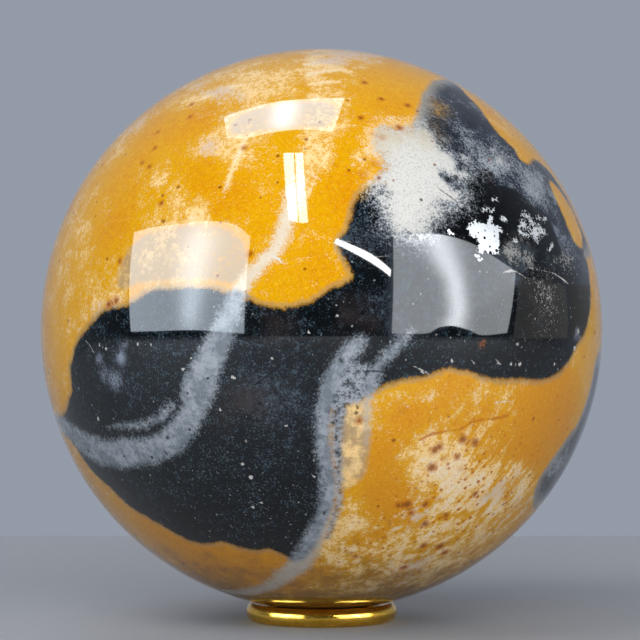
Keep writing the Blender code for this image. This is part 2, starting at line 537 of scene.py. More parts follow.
PALE_CLOUDS = clouds(
    (-30, 55, 10, 0.6), (-26, 40, 4, 0.6), (-29, 22, 8, 0.3), (-37, 13, 8, 0.5), (-47, 5, 6, 0.7),
    (-29.7, 38.1, 3, 0.7), (-57, 11, 6, 0.35), (-66, 18, 8, 0.45), (-68, 40, 12, 0.45), (-14, 60, 8, 0.45),
    (-50, 60, 12, 0.45), (-20, 37.4, 4, 0.7), (-38.8, 31, 2.2, 0.9), (-33.3, 27.3, 2.6, 0.8),
    (-26.1, 24, 3, 0.9), (-57, 38.5, 3, 0.5), (24, -22, 5, 0.8), (20.5, -26.5, 3.6, 0.6), (45, -53, 9, 0.8),
    (25, -58, 9, 0.6), (30, -26, 7, 0.85), (36, -33, 8, 0.6), (25, -31, 7, 0.6), (51, -32, 9, 0.6),
    (29, -41, 7, 0.5), (54, -40, 8, 0.5), (6, -18, 4, 1.0), (6.5, -25, 3.5, 0.7), (7, -37, 4, 0.7),
    (6, -43, 5, 0.8), (3, -47, 4, 0.6), (36, -13, 5, 0.35), (16.3, -12, 1.6, 0.5), (17, -40, 2, 0.5),
    (-28, 12, 6, 0.5), (13, 41.5, 3, 1.1), (9.5, 36.5, 2.6, 1.0), (20, 45.5, 3, 0.7), (8, 33, 2, 0.6),
    (2.5, 16, 3, 0.3), (25, 55, 9, -0.5), (13, 60, 7, -0.35), (-42, 44, 6, -0.4), (-50, 22, 5, -0.3),
    (-29, 31, 4, -0.4), (-52, 36, 7, -0.3), (62, 44, 3, 0.5), (70, 46, 5, 0.6), (58, 39, 2, 0.4),
    (-50, 41, 6, -0.8), (46.5, -22, 5, -0.3), (33, -13, 5, 0.4), (38, -27, 6, 0.35), (45, -32, 6, 0.35),
    (43, -12, 5, 0.3), (24, -12, 4, 0.3), (20, -47, 8, 0.5), (100, 20, 14, 0.5), (120, 50, 16, 0.6),
    (236, 34, 16, 0.6), (250, 8, 10, 0.5), (110, -50, 14, 0.5), (200, 20, 10, 0.6),
)

DEEP_CLOUDS = clouds(
    (-42, 43, 6, 0.25), (-50, 21, 5.5, 0.35), (-19.5, 26, 5, 0.5), (0, 55, 5, 0.3), (-29, 31, 4, 0.35),
    (-50.7, 41, 5, 0.25), (-54.5, 30.5, 5, 0.3), (-35, 48, 4, 0.3), (35, -16.5, 4, 0.5),
    (38.5, -24, 4, 0.4), (-42, -50, 12, 1.0), (-20, -54, 9, 0.8), (5, 28, 5, 0.3), (3, 45, 4, 0.3),
    (25, 54, 9, 0.1), (13, -23, 4.5, 0.6), (13, -32, 4, 0.8), (50, -14, 9, 0.9), (58, -16, 7, 0.8),
    (54, -24, 4, 0.7), (14, -44, 5, 0.5), (20, -35, 4, 0.6), (26, -12, 6, 0.45), (46.5, -22, 5, 0.35),
    (17.5, -15, 2.5, 0.5), (64, 45, 8, 0.3), (130, 30, 12, 0.6), (250, 45, 14, 0.6), (215, 0, 9, 0.5),
    (150, -55, 14, 0.5),
)

STREAK_CLOUDS = clouds(
    (36, -28, 17, 1.0), (22, -46, 14, 0.8), (52, -38, 12, 0.8), (6, -50, 8, 0.5), (22, 62, 8, 0.4),
    (115, -45, 18, 0.8), (160, -60, 16, 0.7),
)

SHADE_CLOUDS = clouds(
    (54, 4, 11, 1.2), (40, -4, 7, 0.8), (64, 8, 5, 0.5), (26, -3, 6, 0.5), (10, 12, 7, 0.6),
    (4, -2, 6, 0.5), (-50, -12, 16, 0.35),
)

GRIT_CLOUDS = clouds(
    (41.2, 15.6, 2.6, 0.5), (45.8, 14.2, 1.8, 0.42), (49, 9.5, 4, 0.2), (51, 5, 5, 0.12), (48, 1, 7, 0.09),
    (56, 15, 3, 0.2), (61, 14, 4, 0.26), (41, -3, 6, 0.05), (-25, -14, 26, 0.02), (-14, -38, 18, 0.08),
    (25, -3, 6, 0.06),
)

RUST_CLOUDS = clouds(
    (-8.5, 1.2, 4, 0.8), (-14, -13, 4, 0.9), (5, 4.5, 3, 0.8), (9.5, 1.5, 2.5, 0.6), (-19, -15, 4, 0.5),
    (47, 25, 6, 0.7), (46, 6, 9, 0.45), (5, -3, 5, 0.35),
)

BLUE_CLOUDS = clouds(
    (-42.2, -4.8, 1.3, 1.1), (-44.4, -9.2, 1.6, 1.2), (-48.6, -5.3, 0.9, 0.9), (-47.4, -8.1, 1.3, 0.7),
    (-40.9, -2.2, 0.9, 0.6), (10, 6, 2.2, 0.15), (9.5, 17.5, 4, 0.15), (-8, -14, 7, 0.1), (2, 16, 3, 0.15),
    (37, 39, 5, 0.6), (48, 34.4, 3, 1.3), (66, 14, 4, 0.3), (60, 29, 5, 1.2), (61, 20, 4, 1.0),
    (56, 31.5, 4, 1.3), (52, 28.4, 2.5, 1.3), (68, -28, 6, 0.9), (30, 45, 4, 0.7), (61, -0.5, 1.1, 1.6),
    (43.4, 13.2, 0.9, 1.6), (40.6, 10.8, 1.2, 0.9),
)

BEIGE_CLOUDS = clouds(
    (14, 42, 3, 0.7), (20, 42, 4.5, 0.7), (27, 42, 4, 0.6), (13, 37, 2.5, 0.4), (44.4, 15.4, 2.6, 0.9),
    (41, 14.6, 2, 0.5), (38.5, 50.4, 2.4, 0.9), (36, 47.6, 1.5, 0.6),
)

BLACK_CRACKS = [
    Vein([
        (-13.2, -9.7, 0.05), (-11.6, -9, 0.16), (-9.6, -7.3, 0.15), (-7, -5.2, 0.14), (-4, -3.5, 0.13),
        (-1.2, -2.6, 0.15), (1.6, -1.7, 0.05),
    ]),
    Vein([(53.5, 25, 0.1), (55.2, 23.9, 0.4), (56.7, 22.3, 0.45), (57.3, 19, 0.4), (57.9, 15.2, 0.1)]),
    Vein([(8, -7.1, 0.05), (10, -7, 0.2), (13, -7.4, 0.05)]),
    Vein([(25.6, 29.3, 0.05), (27, 28, 0.14), (28.6, 26.8, 0.14), (29.8, 25.9, 0.05)]),
]

RUST_CRACKS = [
    Vein([
        (20.2, -20.6, 0.15), (22.6, -19.4, 0.34), (26, -18.9, 0.12), (29, -18.5, 0.2), (31.2, -17.3, 0.24),
        (34, -16.7, 0.1), (37, -16.6, 0.2), (40.2, -16.1, 0.24),
    ]),
]

TAN_CRACKS = [
    Vein([(37.8, 11.5, 0.0), (39.6, 11.8, 0.24), (41.2, 11.8, 0.05), (42.8, 11.1, 0.08), (44.2, 10.4, 0.0)]),
    Vein([
        (44.5, 12.6, -0.05), (47, 12.3, 0.0), (50, 11.9, -0.03), (52.8, 11.5, 0.02), (54.2, 11.1, 0.1),
        (56, 10.4, 0.14), (57.4, 9.8, 0.14), (58.6, 9.3, 0.0),
    ]),
    Vein([(-10, 15, 0.1), (-8.6, 14.2, 0.3), (-7.4, 13.2, 0.1)]),
    Vein([(17.5, -6.1, 0.0), (19.2, -6.8, 0.08), (21, -7.8, 0.0)]),
    Vein([(29.6, -5.0, 0.0), (30.6, -5.9, 0.05)]),
    Vein([(35.4, -5.0, 0.0), (36.6, -5.9, 0.08)]),
    Vein([(-53, -1.6, 0.0), (-51.4, -2.6, 0.04), (-50, -4.2, 0.0)]),
    Vein([(36, -13.6, 0.0), (38.5, -13.2, 0.1), (41, -13.4, 0.0)]),
]


class SpeckKind(Enum):
    """The kinds of drawn specks."""

    # Painted glints of light caught in small pits, drawn as white specks.
    WHITE = "white"
    BROWN = "brown"
    DARK = "dark"
    RUST = "rust"

    @property
    def fray(self) -> float:
        """How strongly the grain breaks the speck's outline."""
        return {"white": 0.9, "brown": 1.1, "dark": 1.1, "rust": 2.0}[self.value]

    @property
    def soft(self) -> float:
        """Half the width over which the speck fades, in millimetres."""
        return {"white": 0.12, "brown": 0.24, "dark": 0.16, "rust": 0.5}[self.value]

    @property
    def strength(self) -> float:
        """How fully the speck covers the stone."""
        return {"white": 0.75, "brown": 0.72, "dark": 0.8, "rust": 0.36}[self.value]

    def tint(self, finish: "StoneFinish") -> Colour:
        """Colour of this kind of speck."""
        tints = {"white": finish.snow, "brown": finish.brown, "dark": finish.soot, "rust": finish.rust}
        return tints[self.value]


SPECKS = {
    # Painted glints: white specks in the dark zone that stand for light caught in small pits.
    SpeckKind.WHITE: [
        (-17, -8.2, 0.24), (-20, -14.6, 0.16), (-7, -17.6, 0.14), (-15.3, -20.7, 0.16), (-16.8, -25.6, 0.2),
        (-15.4, -28.4, 0.26), (-13.8, -34.4, 0.2), (-16.3, -35.4, 0.22), (-1.7, -28, 0.2),
        (-27.3, -6.8, 0.2), (-35, -13.3, 0.14), (-52.3, -17.1, 0.24), (-9.3, -4.6, 0.15),
        (-25.5, -4.7, 0.15), (-2.3, 0.3, 0.18), (2.9, 3.4, 0.14), (22, -0.2, 0.14), (25.5, -5.1, 0.18),
        (40.8, -2.2, 0.18), (39.3, -6.1, 0.25), (41.7, -6.1, 0.24), (52.3, -6.3, 0.2), (36, -5.7, 0.15),
        (59.8, -3.2, 0.4), (61.3, 0, 0.35), (19.5, -7.3, 0.16), (-48.2, -2.6, 0.2), (-46.2, -3.2, 0.16),
        (-34.4, -2.2, 0.14), (-37.6, -2.2, 0.14),
    ],
    SpeckKind.BROWN: [
        (-44.5, 34, 0.25), (-48, 35, 0.2), (-50, 43, 0.25), (-45, 51, 0.25), (-44, 13.8, 0.3),
        (-43.6, 6.2, 0.35), (-45.6, 5.4, 0.4), (11, 46, 0.3), (21, 43.3, 0.35), (30, -20.6, 0.55),
        (33.2, -21.4, 0.5), (29.6, -24.3, 0.3), (24.8, -22.1, 0.5), (23.8, -22.8, 0.45), (24, -26.4, 0.6),
        (20.3, -34.8, 0.6), (18.2, -34.9, 0.35), (25, -35, 0.4), (22, -37, 0.4), (10, -49, 0.3),
        (36, -46.8, 0.6), (40, -49, 0.5), (7.4, -16.6, 0.25), (19, 52, 0.3), (16, 58, 0.3), (27, 50, 0.3),
        (28, -53.5, 0.5), (30, -46.3, 0.5), (32, -38, 0.4), (38, -33, 0.35), (27, -40, 0.45),
        (-14, 15, 0.3), (-19, 38, 0.25), (-41, 47, 0.25), (-46.5, 38.6, 0.25), (-36.4, 25.6, 0.25),
    ],
    SpeckKind.DARK: [
        (-33, -20.3, 0.35), (-36, -19, 0.3), (3.7, -5, 0.4), (0.6, -36.6, 0.3), (6.9, -13.8, 0.28),
        (6.8, -15, 0.28), (2.2, -17, 0.28), (3.2, -23, 0.3), (-34.4, -23.8, 0.22), (-24.6, -2.4, 0.2),
        (-36.8, -17.6, 0.22), (-26.8, -11.4, 0.22), (-30.2, -12.6, 0.25), (31.6, 31.2, 0.5),
        (29.2, 30.6, 0.6), (7.7, -5.4, 0.3), (0.2, -26, 0.16), (0.9, -31, 0.2), (-46, -12.4, 0.2),
        (-42, -13.2, 0.22),
    ],
    SpeckKind.RUST: [
        (32, -2, 0.5), (9.3, 31.3, 0.9), (12.2, 34, 0.8), (3.4, 33.8, 0.4), (16.2, -14.4, 0.6),
        (15.6, 40.5, 0.6), (13, 41.5, 0.5), (26.8, -24.6, 0.5), (31.6, -27, 0.5), (33.4, -29, 0.4),
        (28, -33.6, 0.5),
    ],
}

ZONES = {
    "charcoal": CHARCOAL,
    "slate_rim": SLATE,
    "snow": SNOW,
    "ash": ASH,
    "jet": JET,
    "gravel": GRAVEL,
    "amber": AMBER,
    "white_vein": WHITE_VEINS,
    "pale_band": PALE_BAND,
    "silver": SILVER,
    "sand": SAND_AND_PAINTED_REFLECTION,
}

CLOUDS = {
    "pale_cloud": PALE_CLOUDS,
    "deep_cloud": DEEP_CLOUDS,
    "rust_cloud": RUST_CLOUDS,
    "blue_cloud": BLUE_CLOUDS,
    "beige_cloud": BEIGE_CLOUDS,
    "streak_cloud": STREAK_CLOUDS,
    "shade_cloud": SHADE_CLOUDS,
    "grit_cloud": GRIT_CLOUDS,
    "silver_broken": clouds((50, 20.5, 4.5, 1.0)),
}

CRACKS = {"black": BLACK_CRACKS, "rust": RUST_CRACKS, "tan": TAN_CRACKS}


@dataclass(frozen=True)
class StonePattern:
    """Everything that is drawn on the ball, as distances kept on its vertices."""

    radius_mm: float
    gap_depth_mm: float = 5.0
    broken_depth_mm: float = 0.2
    streak_strength: float = 1.2
    streak_reach_mm: float = 0.6
    crack_reach_mm: float = 1.2
    width_reach_mm: float = 0.9
    speck_reach_mm: float = 0.9
    no_speck_mm: float = -5.0

    def paint(self, mesh: bpy.types.Mesh, centre: Vector) -> None:
        """Writes each zone's depth and each cloud's strength as an attribute of the mesh.

        Args:
            mesh: The ball's finished mesh.
            centre: The ball's centre.
        """
        places = np.empty(len(mesh.vertices) * 3)
        mesh.vertices.foreach_get("co", places)
        directions = places.reshape(-1, 3) - np.array(centre)
        directions /= np.linalg.norm(directions, axis=1, keepdims=True)
        zones = {name: joined(shapes, directions, self.radius_mm) for name, shapes in ZONES.items()}
        zones |= {name: gathered(patches, directions) for name, patches in CLOUDS.items()}
        islands = joined(SLATE_ISLANDS, directions, self.radius_mm)
        streaks = joined(PALE_STREAKS, directions, self.radius_mm)
        zones["slate"] = np.minimum(zones["slate_rim"], -islands)
        zones["snow"] -= self.gap_depth_mm * gathered(SNOW_GAPS, directions)
        zones["silver"] -= self.broken_depth_mm * zones["silver_broken"]
        zones["pale_cloud"] += self.streak_strength * np.clip(streaks + self.streak_reach_mm, 0, 1)
        for name, cracks in CRACKS.items():
            side, width = self.nearest_crack(cracks, directions)
            zones[name + "_crack"] = side
            zones[name + "_crack_width"] = width
        for kind, specks in SPECKS.items():
            middles, size = self.nearest_speck(specks, directions)
            zones[kind.value + "_speck_size"] = size
            self.keep(mesh, kind.value + "_speck", "FLOAT_VECTOR", "vector", middles)
        for name, values in zones.items():
            self.keep(mesh, name, "FLOAT", "value", values)

    def keep(self, mesh: bpy.types.Mesh, name: str, kind: str, part: str, values: np.ndarray) -> None:
        """Stores a number or a vector for each vertex.

        Args:
            mesh: The mesh.
            name: The attribute's name.
            kind: The attribute's type.
            part: What the attribute calls its value.
            values: One number or vector for each vertex.
        """
        attribute = mesh.attributes.new(name, kind, "POINT")
        attribute.data.foreach_set(part, values.astype(np.float32).ravel())

    def nearest_crack(self, cracks: list[Vein], directions: np.ndarray) -> tuple[np.ndarray, np.ndarray]:
        """Measures every direction against the crack that is nearest to it.

        Args:
            cracks: Cracks of one kind.
            directions: Unit directions of the ball's vertices.

        Returns:
            The distance to the crack with a sign for its side, and the crack's half width there.
        """
        measured = [crack.measure(directions, self.radius_mm) for crack in cracks]
        nearest = np.argmin([np.abs(side) for _, side, _ in measured], axis=0)
        rows = np.arange(len(directions))
        side = np.array([side for _, side, _ in measured])[nearest, rows]
        width = np.array([width for _, _, width in measured])[nearest, rows]
        away = np.abs(side)
        side = np.where(away > self.crack_reach_mm, self.crack_reach_mm, side)
        return side, np.where(away > self.width_reach_mm, NO_WIDTH_MM, width)

    def nearest_speck(self, specks: list[Step], directions: np.ndarray) -> tuple[np.ndarray, np.ndarray]:
        """Finds the speck that is nearest to every direction.

        Args:
            specks: Longitude, latitude and radius in millimetres of each speck of one kind.
            directions: Unit directions of the ball's vertices.

        Returns:
            The middle of the speck in millimetres from the ball's centre, and the speck's radius.
        """
        spots = np.array([tuple(direction(longitude, latitude)) for longitude, latitude, _ in specks])
        nearest = np.argmax(directions @ spots.T, axis=1)
        size = np.array([size for _, _, size in specks])[nearest]
        away = np.linalg.norm(directions - spots[nearest], axis=1) * self.radius_mm
        size = np.where(away > size + self.speck_reach_mm, self.no_speck_mm, size)
        return spots[nearest] * self.radius_mm, size


class Sheet:
    """One material's node tree, with a short call for each kind of node that the finishes use."""

    def __init__(self, name: str) -> None:
        """Starts a material.

        Args:
            name: The material's name.
        """
        self.material = bpy.data.materials.new(name)
        self.material.use_nodes = True
        self.tree = self.material.node_tree
        self.shader = self.tree.nodes["Principled BSDF"]
        self.output = self.tree.nodes["Material Output"]

    def node(self, kind: str, inputs: dict | None = None, **settings: object) -> bpy.types.Node:
        """Adds a node.

        Args:
            kind: The node's type name.
            inputs: A value or a socket for each input, by its name or number.
            settings: Properties to set on the node.

        Returns:
            The new node.
        """
        made = self.tree.nodes.new(kind)
        for name, value in settings.items():
            setattr(made, name, value)
        for name, value in (inputs or {}).items():
            self.feed(made.inputs[name], value)
        return made

    def feed(self, socket: Socket, value: Value) -> None:
        """Links a socket to another, or sets its value.

        Args:
            socket: The input.
            value: An output socket, a number, a colour or a vector.
        """
        if isinstance(value, bpy.types.NodeSocket):
            self.tree.links.new(value, socket)
        elif isinstance(value, tuple) and len(value) == 3 and socket.type == "RGBA":
            socket.default_value = (*value, 1.0)
        else:
            socket.default_value = value

    def calc(self, operation: str, *values: Value, clamp: bool = False) -> Socket:
        """Works out one number with a Math node.

        Args:
            operation: The Math node's operation.
            values: Its inputs in order.
            clamp: True to keep the result from 0 to 1.

        Returns:
            The result's socket.
        """
        inputs = dict(enumerate(values))
        return self.node("ShaderNodeMath", inputs, operation=operation, use_clamp=clamp).outputs[0]

    def rise(
        self, value: Value, low: float, high: float, to_low: float = 0.0, to_high: float = 1.0
    ) -> Socket:
        """Smooth rise from one value to another as a number goes from low to high.

        Args:
            value: The number.
            low: Where the rise starts.
            high: Where the rise ends.
            to_low: The result before the rise.
            to_high: The result after it.

        Returns:
            The result's socket.
        """
        inputs = {0: value, 1: low, 2: high, 3: to_low, 4: to_high}
        return self.node("ShaderNodeMapRange", inputs, interpolation_type="SMOOTHSTEP").outputs[0]

    def blend(self, share: Value, below: Value, above: Value) -> Socket:
        """Lays one colour over another.

        Args:
            share: How much of the upper colour shows.
            below: The lower colour.
            above: The upper colour.

        Returns:
            The colour's socket.
        """
        made = self.node("ShaderNodeMix", data_type="RGBA")
        self.feed(made.inputs[0], share)
        self.feed(made.inputs[6], below)
        self.feed(made.inputs[7], above)
        return made.outputs[2]

    def layered(self, below: Value, *layers: tuple[Colour, Socket, float, float, float]) -> Socket:
        """Lays tints over a colour one after another, each where its number has risen.

        Args:
            below: The lowest colour.
            layers: Each tint with its number, where the tint starts to show, where it shows most
                and how much of it shows there.

        Returns:
            The colour's socket.
        """
        for tint, value, low, high, most in layers:
            below = self.blend(self.rise(value, low, high, 0.0, most), below, tint)
        return below

    def noise(
        self, place: Socket, per_mm: float, detail: float = 4.0, rough: float = 0.55, warp: float = 0.0
    ) -> Socket:
        """Cloudy noise.

        Args:
            place: The coordinates in millimetres.
            per_mm: Features for each millimetre.
            detail: Number of finer layers.
            rough: Strength of the finer layers.
            warp: How far the noise is bent.

        Returns:
            The noise value's socket, around 0.5.
        """
        inputs = {"Vector": place, "Scale": per_mm, "Detail": detail, "Roughness": rough, "Distortion": warp}
        return self.node("ShaderNodeTexNoise", inputs).outputs["Fac"]

    def cells(self, place: Socket, per_mm: float) -> tuple[Socket, Socket]:
        """Scattered points.

        Args:
            place: The coordinates in millimetres.
            per_mm: Points for each millimetre.

        Returns:
            The distance to the nearest point, in cells, and a random number for that cell.
        """
        made = self.node("ShaderNodeTexVoronoi", {"Vector": place, "Scale": per_mm})
        chance = self.node("ShaderNodeSeparateColor", {0: made.outputs["Color"]}).outputs[0]
        return made.outputs["Distance"], chance

    def stretched(self, place: Socket, turn: tuple[float, float, float], length: float) -> Socket:
        """Coordinates that draw a pattern out along one line.

        Args:
            place: The coordinates.
            turn: Degrees about X, Y and Z that bring the line upright.
            length: How many times longer the pattern gets.

        Returns:
            The new coordinates' socket.
        """
        turned = self.node("ShaderNodeMapping", {"Vector": place})
        turned.inputs["Rotation"].default_value = tuple(math.radians(part) for part in turn)
        drawn_out = self.node("ShaderNodeMapping", {"Vector": turned.outputs["Vector"]})
        drawn_out.inputs["Scale"].default_value = (1.0, 1.0, 1 / length)
        return drawn_out.outputs["Vector"]

    def drawn(self, name: str) -> Socket:
        """Value that the mesh carries under a name."""
        return self.node("ShaderNodeAttribute", attribute_name=name).outputs["Fac"]

    def height(self, place: Socket) -> Socket:
        """Height of a place in millimetres."""
        return self.node("ShaderNodeSeparateXYZ", {0: place}).outputs["Z"]

    def total(self, *terms: Value) -> Socket:
        """Sum of several numbers."""
        result = terms[0]
        for term in terms[1:]:
            result = self.calc("ADD", result, term)
        return result

    def times(self, first: Value, second: Value) -> Socket:
        """Product of two numbers."""
        return self.calc("MULTIPLY", first, second)

    def about_nought(self, noise: Socket, strength: float) -> Socket:
        """Noise moved so that it lies evenly about nought, and made stronger or weaker."""
        return self.calc("MULTIPLY_ADD", noise, strength, -0.5 * strength)

    def millimetres(self, centre: Vector) -> Socket:
        """Coordinates on the piece, in millimetres from a centre.

        Args:
            centre: The place that becomes nought.

        Returns:
            The coordinates' socket.
        """
        coords = self.node("ShaderNodeTexCoord").outputs["Object"]
        mapping = self.node("ShaderNodeMapping", {"Vector": coords})
        mapping.inputs["Scale"].default_value = (1 / MM,) * 3
        mapping.inputs["Location"].default_value = tuple(-centre / MM)
        return mapping.outputs["Vector"]

    def rubbing(self, place: Socket, marks: float, strength: float) -> Socket:
        """Mask of fine rubbing marks.

        Args:
            place: Coordinates in millimetres.
            marks: Number of marks for each millimetre.
            strength: The mask's highest value.

        Returns:
            The mask's socket.
        """
        made = self.node("ShaderNodeGroup", node_tree=rubbing_group())
        for name, value in {"Place": place, "Marks": marks, "Strength": strength}.items():
            self.feed(made.inputs[name], value)
        return made.outputs["Mask"]


MARK_TURN = (0.2, math.radians(38), 0.1)
MARK_SCALE = (0.12, 1.0, 5.0)
MARK_FROM = 0.64
MARK_FULL = 0.74


def rubbing_group() -> bpy.types.NodeTree:
    """Builds the fine rubbing marks that the stone and the brass share, once.

    Returns:
        The node group, which takes a place, a number of marks and a strength, and gives a mask.
    """
    name = "fine_rubbing_marks"
    if name in bpy.data.node_groups:
        return bpy.data.node_groups[name]
    group = bpy.data.node_groups.new(name, "ShaderNodeTree")
    for label, kind in {"Place": "Vector", "Marks": "Float", "Strength": "Float"}.items():
        group.interface.new_socket(label, in_out="INPUT", socket_type="NodeSocket" + kind)
    group.interface.new_socket("Mask", in_out="OUTPUT", socket_type="NodeSocketFloat")
    enter = group.nodes.new("NodeGroupInput")
    leave = group.nodes.new("NodeGroupOutput")
    turned = group.nodes.new("ShaderNodeMapping")
    turned.inputs["Rotation"].default_value = MARK_TURN
    turned.inputs["Scale"].default_value = MARK_SCALE
    noise = group.nodes.new("ShaderNodeTexNoise")
    noise.inputs["Detail"].default_value = 2.0
    rise = group.nodes.new("ShaderNodeMapRange")
    rise.interpolation_type = "SMOOTHSTEP"
    rise.inputs[1].default_value = MARK_FROM
    rise.inputs[2].default_value = MARK_FULL
    times = group.nodes.new("ShaderNodeMath")
    times.operation = "MULTIPLY"
    group.links.new(enter.outputs["Place"], turned.inputs["Vector"])
    group.links.new(turned.outputs["Vector"], noise.inputs["Vector"])
    group.links.new(enter.outputs["Marks"], noise.inputs["Scale"])
    group.links.new(noise.outputs["Fac"], rise.inputs[0])
    group.links.new(rise.outputs[0], times.inputs[0])
    group.links.new(enter.outputs["Strength"], times.inputs[1])
    group.links.new(times.outputs[0], leave.inputs["Mask"])
    return group


@dataclass(frozen=True)
class Strewn:
    """Pin-sized dots strewn by chance: how close they lie, how many are left out, and their look.

    Sizes and the soft edge are shares of the space between two dots.
    """

    per_mm: float
    rarity: float
    size: float
    fray: float = 0.2
    soft: tuple[float, float] = (-0.03, 0.05)
    strength: float = 0.75


BROWN_DOTS = Strewn(per_mm=0.42, rarity=0.5, size=0.16, soft=(-0.03, 0.06))
RUST_FRECKLES = Strewn(per_mm=0.95, rarity=0.3, size=0.36, fray=0.5, soft=(-0.06, 0.1))
BLACK_DOTS = Strewn(per_mm=0.6, rarity=0.5, size=0.22, strength=0.8)
PALE_DOTS = Strewn(per_mm=0.8, rarity=0.66, size=0.17, soft=(-0.02, 0.05))


@dataclass(frozen=True)
class StoneFinish:
    """Polished jasper-like stone: its colours, by zone, and its gloss."""

    yellow: Colour = linear(210, 154, 0)
    orange: Colour = linear(202, 132, 0)
    light_grain: Colour = linear(222, 176, 58)
    peach: Colour = linear(212, 168, 88)
    cream: Colour = linear(236, 202, 142)
    ivory: Colour = linear(232, 215, 186)
    lilac: Colour = linear(196, 176, 164)
    # Sand colour of the stone, which is also the painted reflection laid under the left and top softbox
    # reflections.
    sand: Colour = linear(170, 144, 106)
    beige: Colour = linear(190, 178, 152)
    # Painted shade: the darker tan of the ball's lower crescent, its underside turned away from the light.
    tan: Colour = linear(100, 74, 42)
    rust: Colour = linear(174, 94, 0)
    brown: Colour = linear(118, 56, 0)
    ochre: Colour = linear(166, 130, 62)
    halo: Colour = linear(150, 128, 92)
    charcoal: Colour = linear(2, 15, 22)
    smoke: Colour = linear(57, 70, 79)
    soot: Colour = linear(5, 7, 9)
    umber: Colour = linear(40, 34, 33)
    grit: Colour = linear(148, 148, 145)
    pale_blue: Colour = linear(124, 134, 150)
    slate: Colour = linear(30, 40, 54)
    slate_light: Colour = linear(136, 143, 149)
    slate_rim: Colour = linear(152, 148, 138)
    snow: Colour = linear(206, 205, 200)
    ash: Colour = linear(46, 49, 54)
    vein: Colour = linear(106, 115, 124)
    vein_light: Colour = linear(150, 157, 165)
    vein_warm: Colour = linear(186, 172, 152)
    silver: Colour = linear(226, 230, 233)
    gloss_roughness: float = 0.035
    silver_roughness: float = 0.3
    silver_metal: float = 0.45
    index: float = 1.54

    def make(self, centre: Vector) -> bpy.types.Material:
        """Builds the stone's material.

        Args:
            centre: The ball's centre, about which the patterns are placed.

        Returns:
            The material.
        """
        return StoneSheet(self, centre).finished()


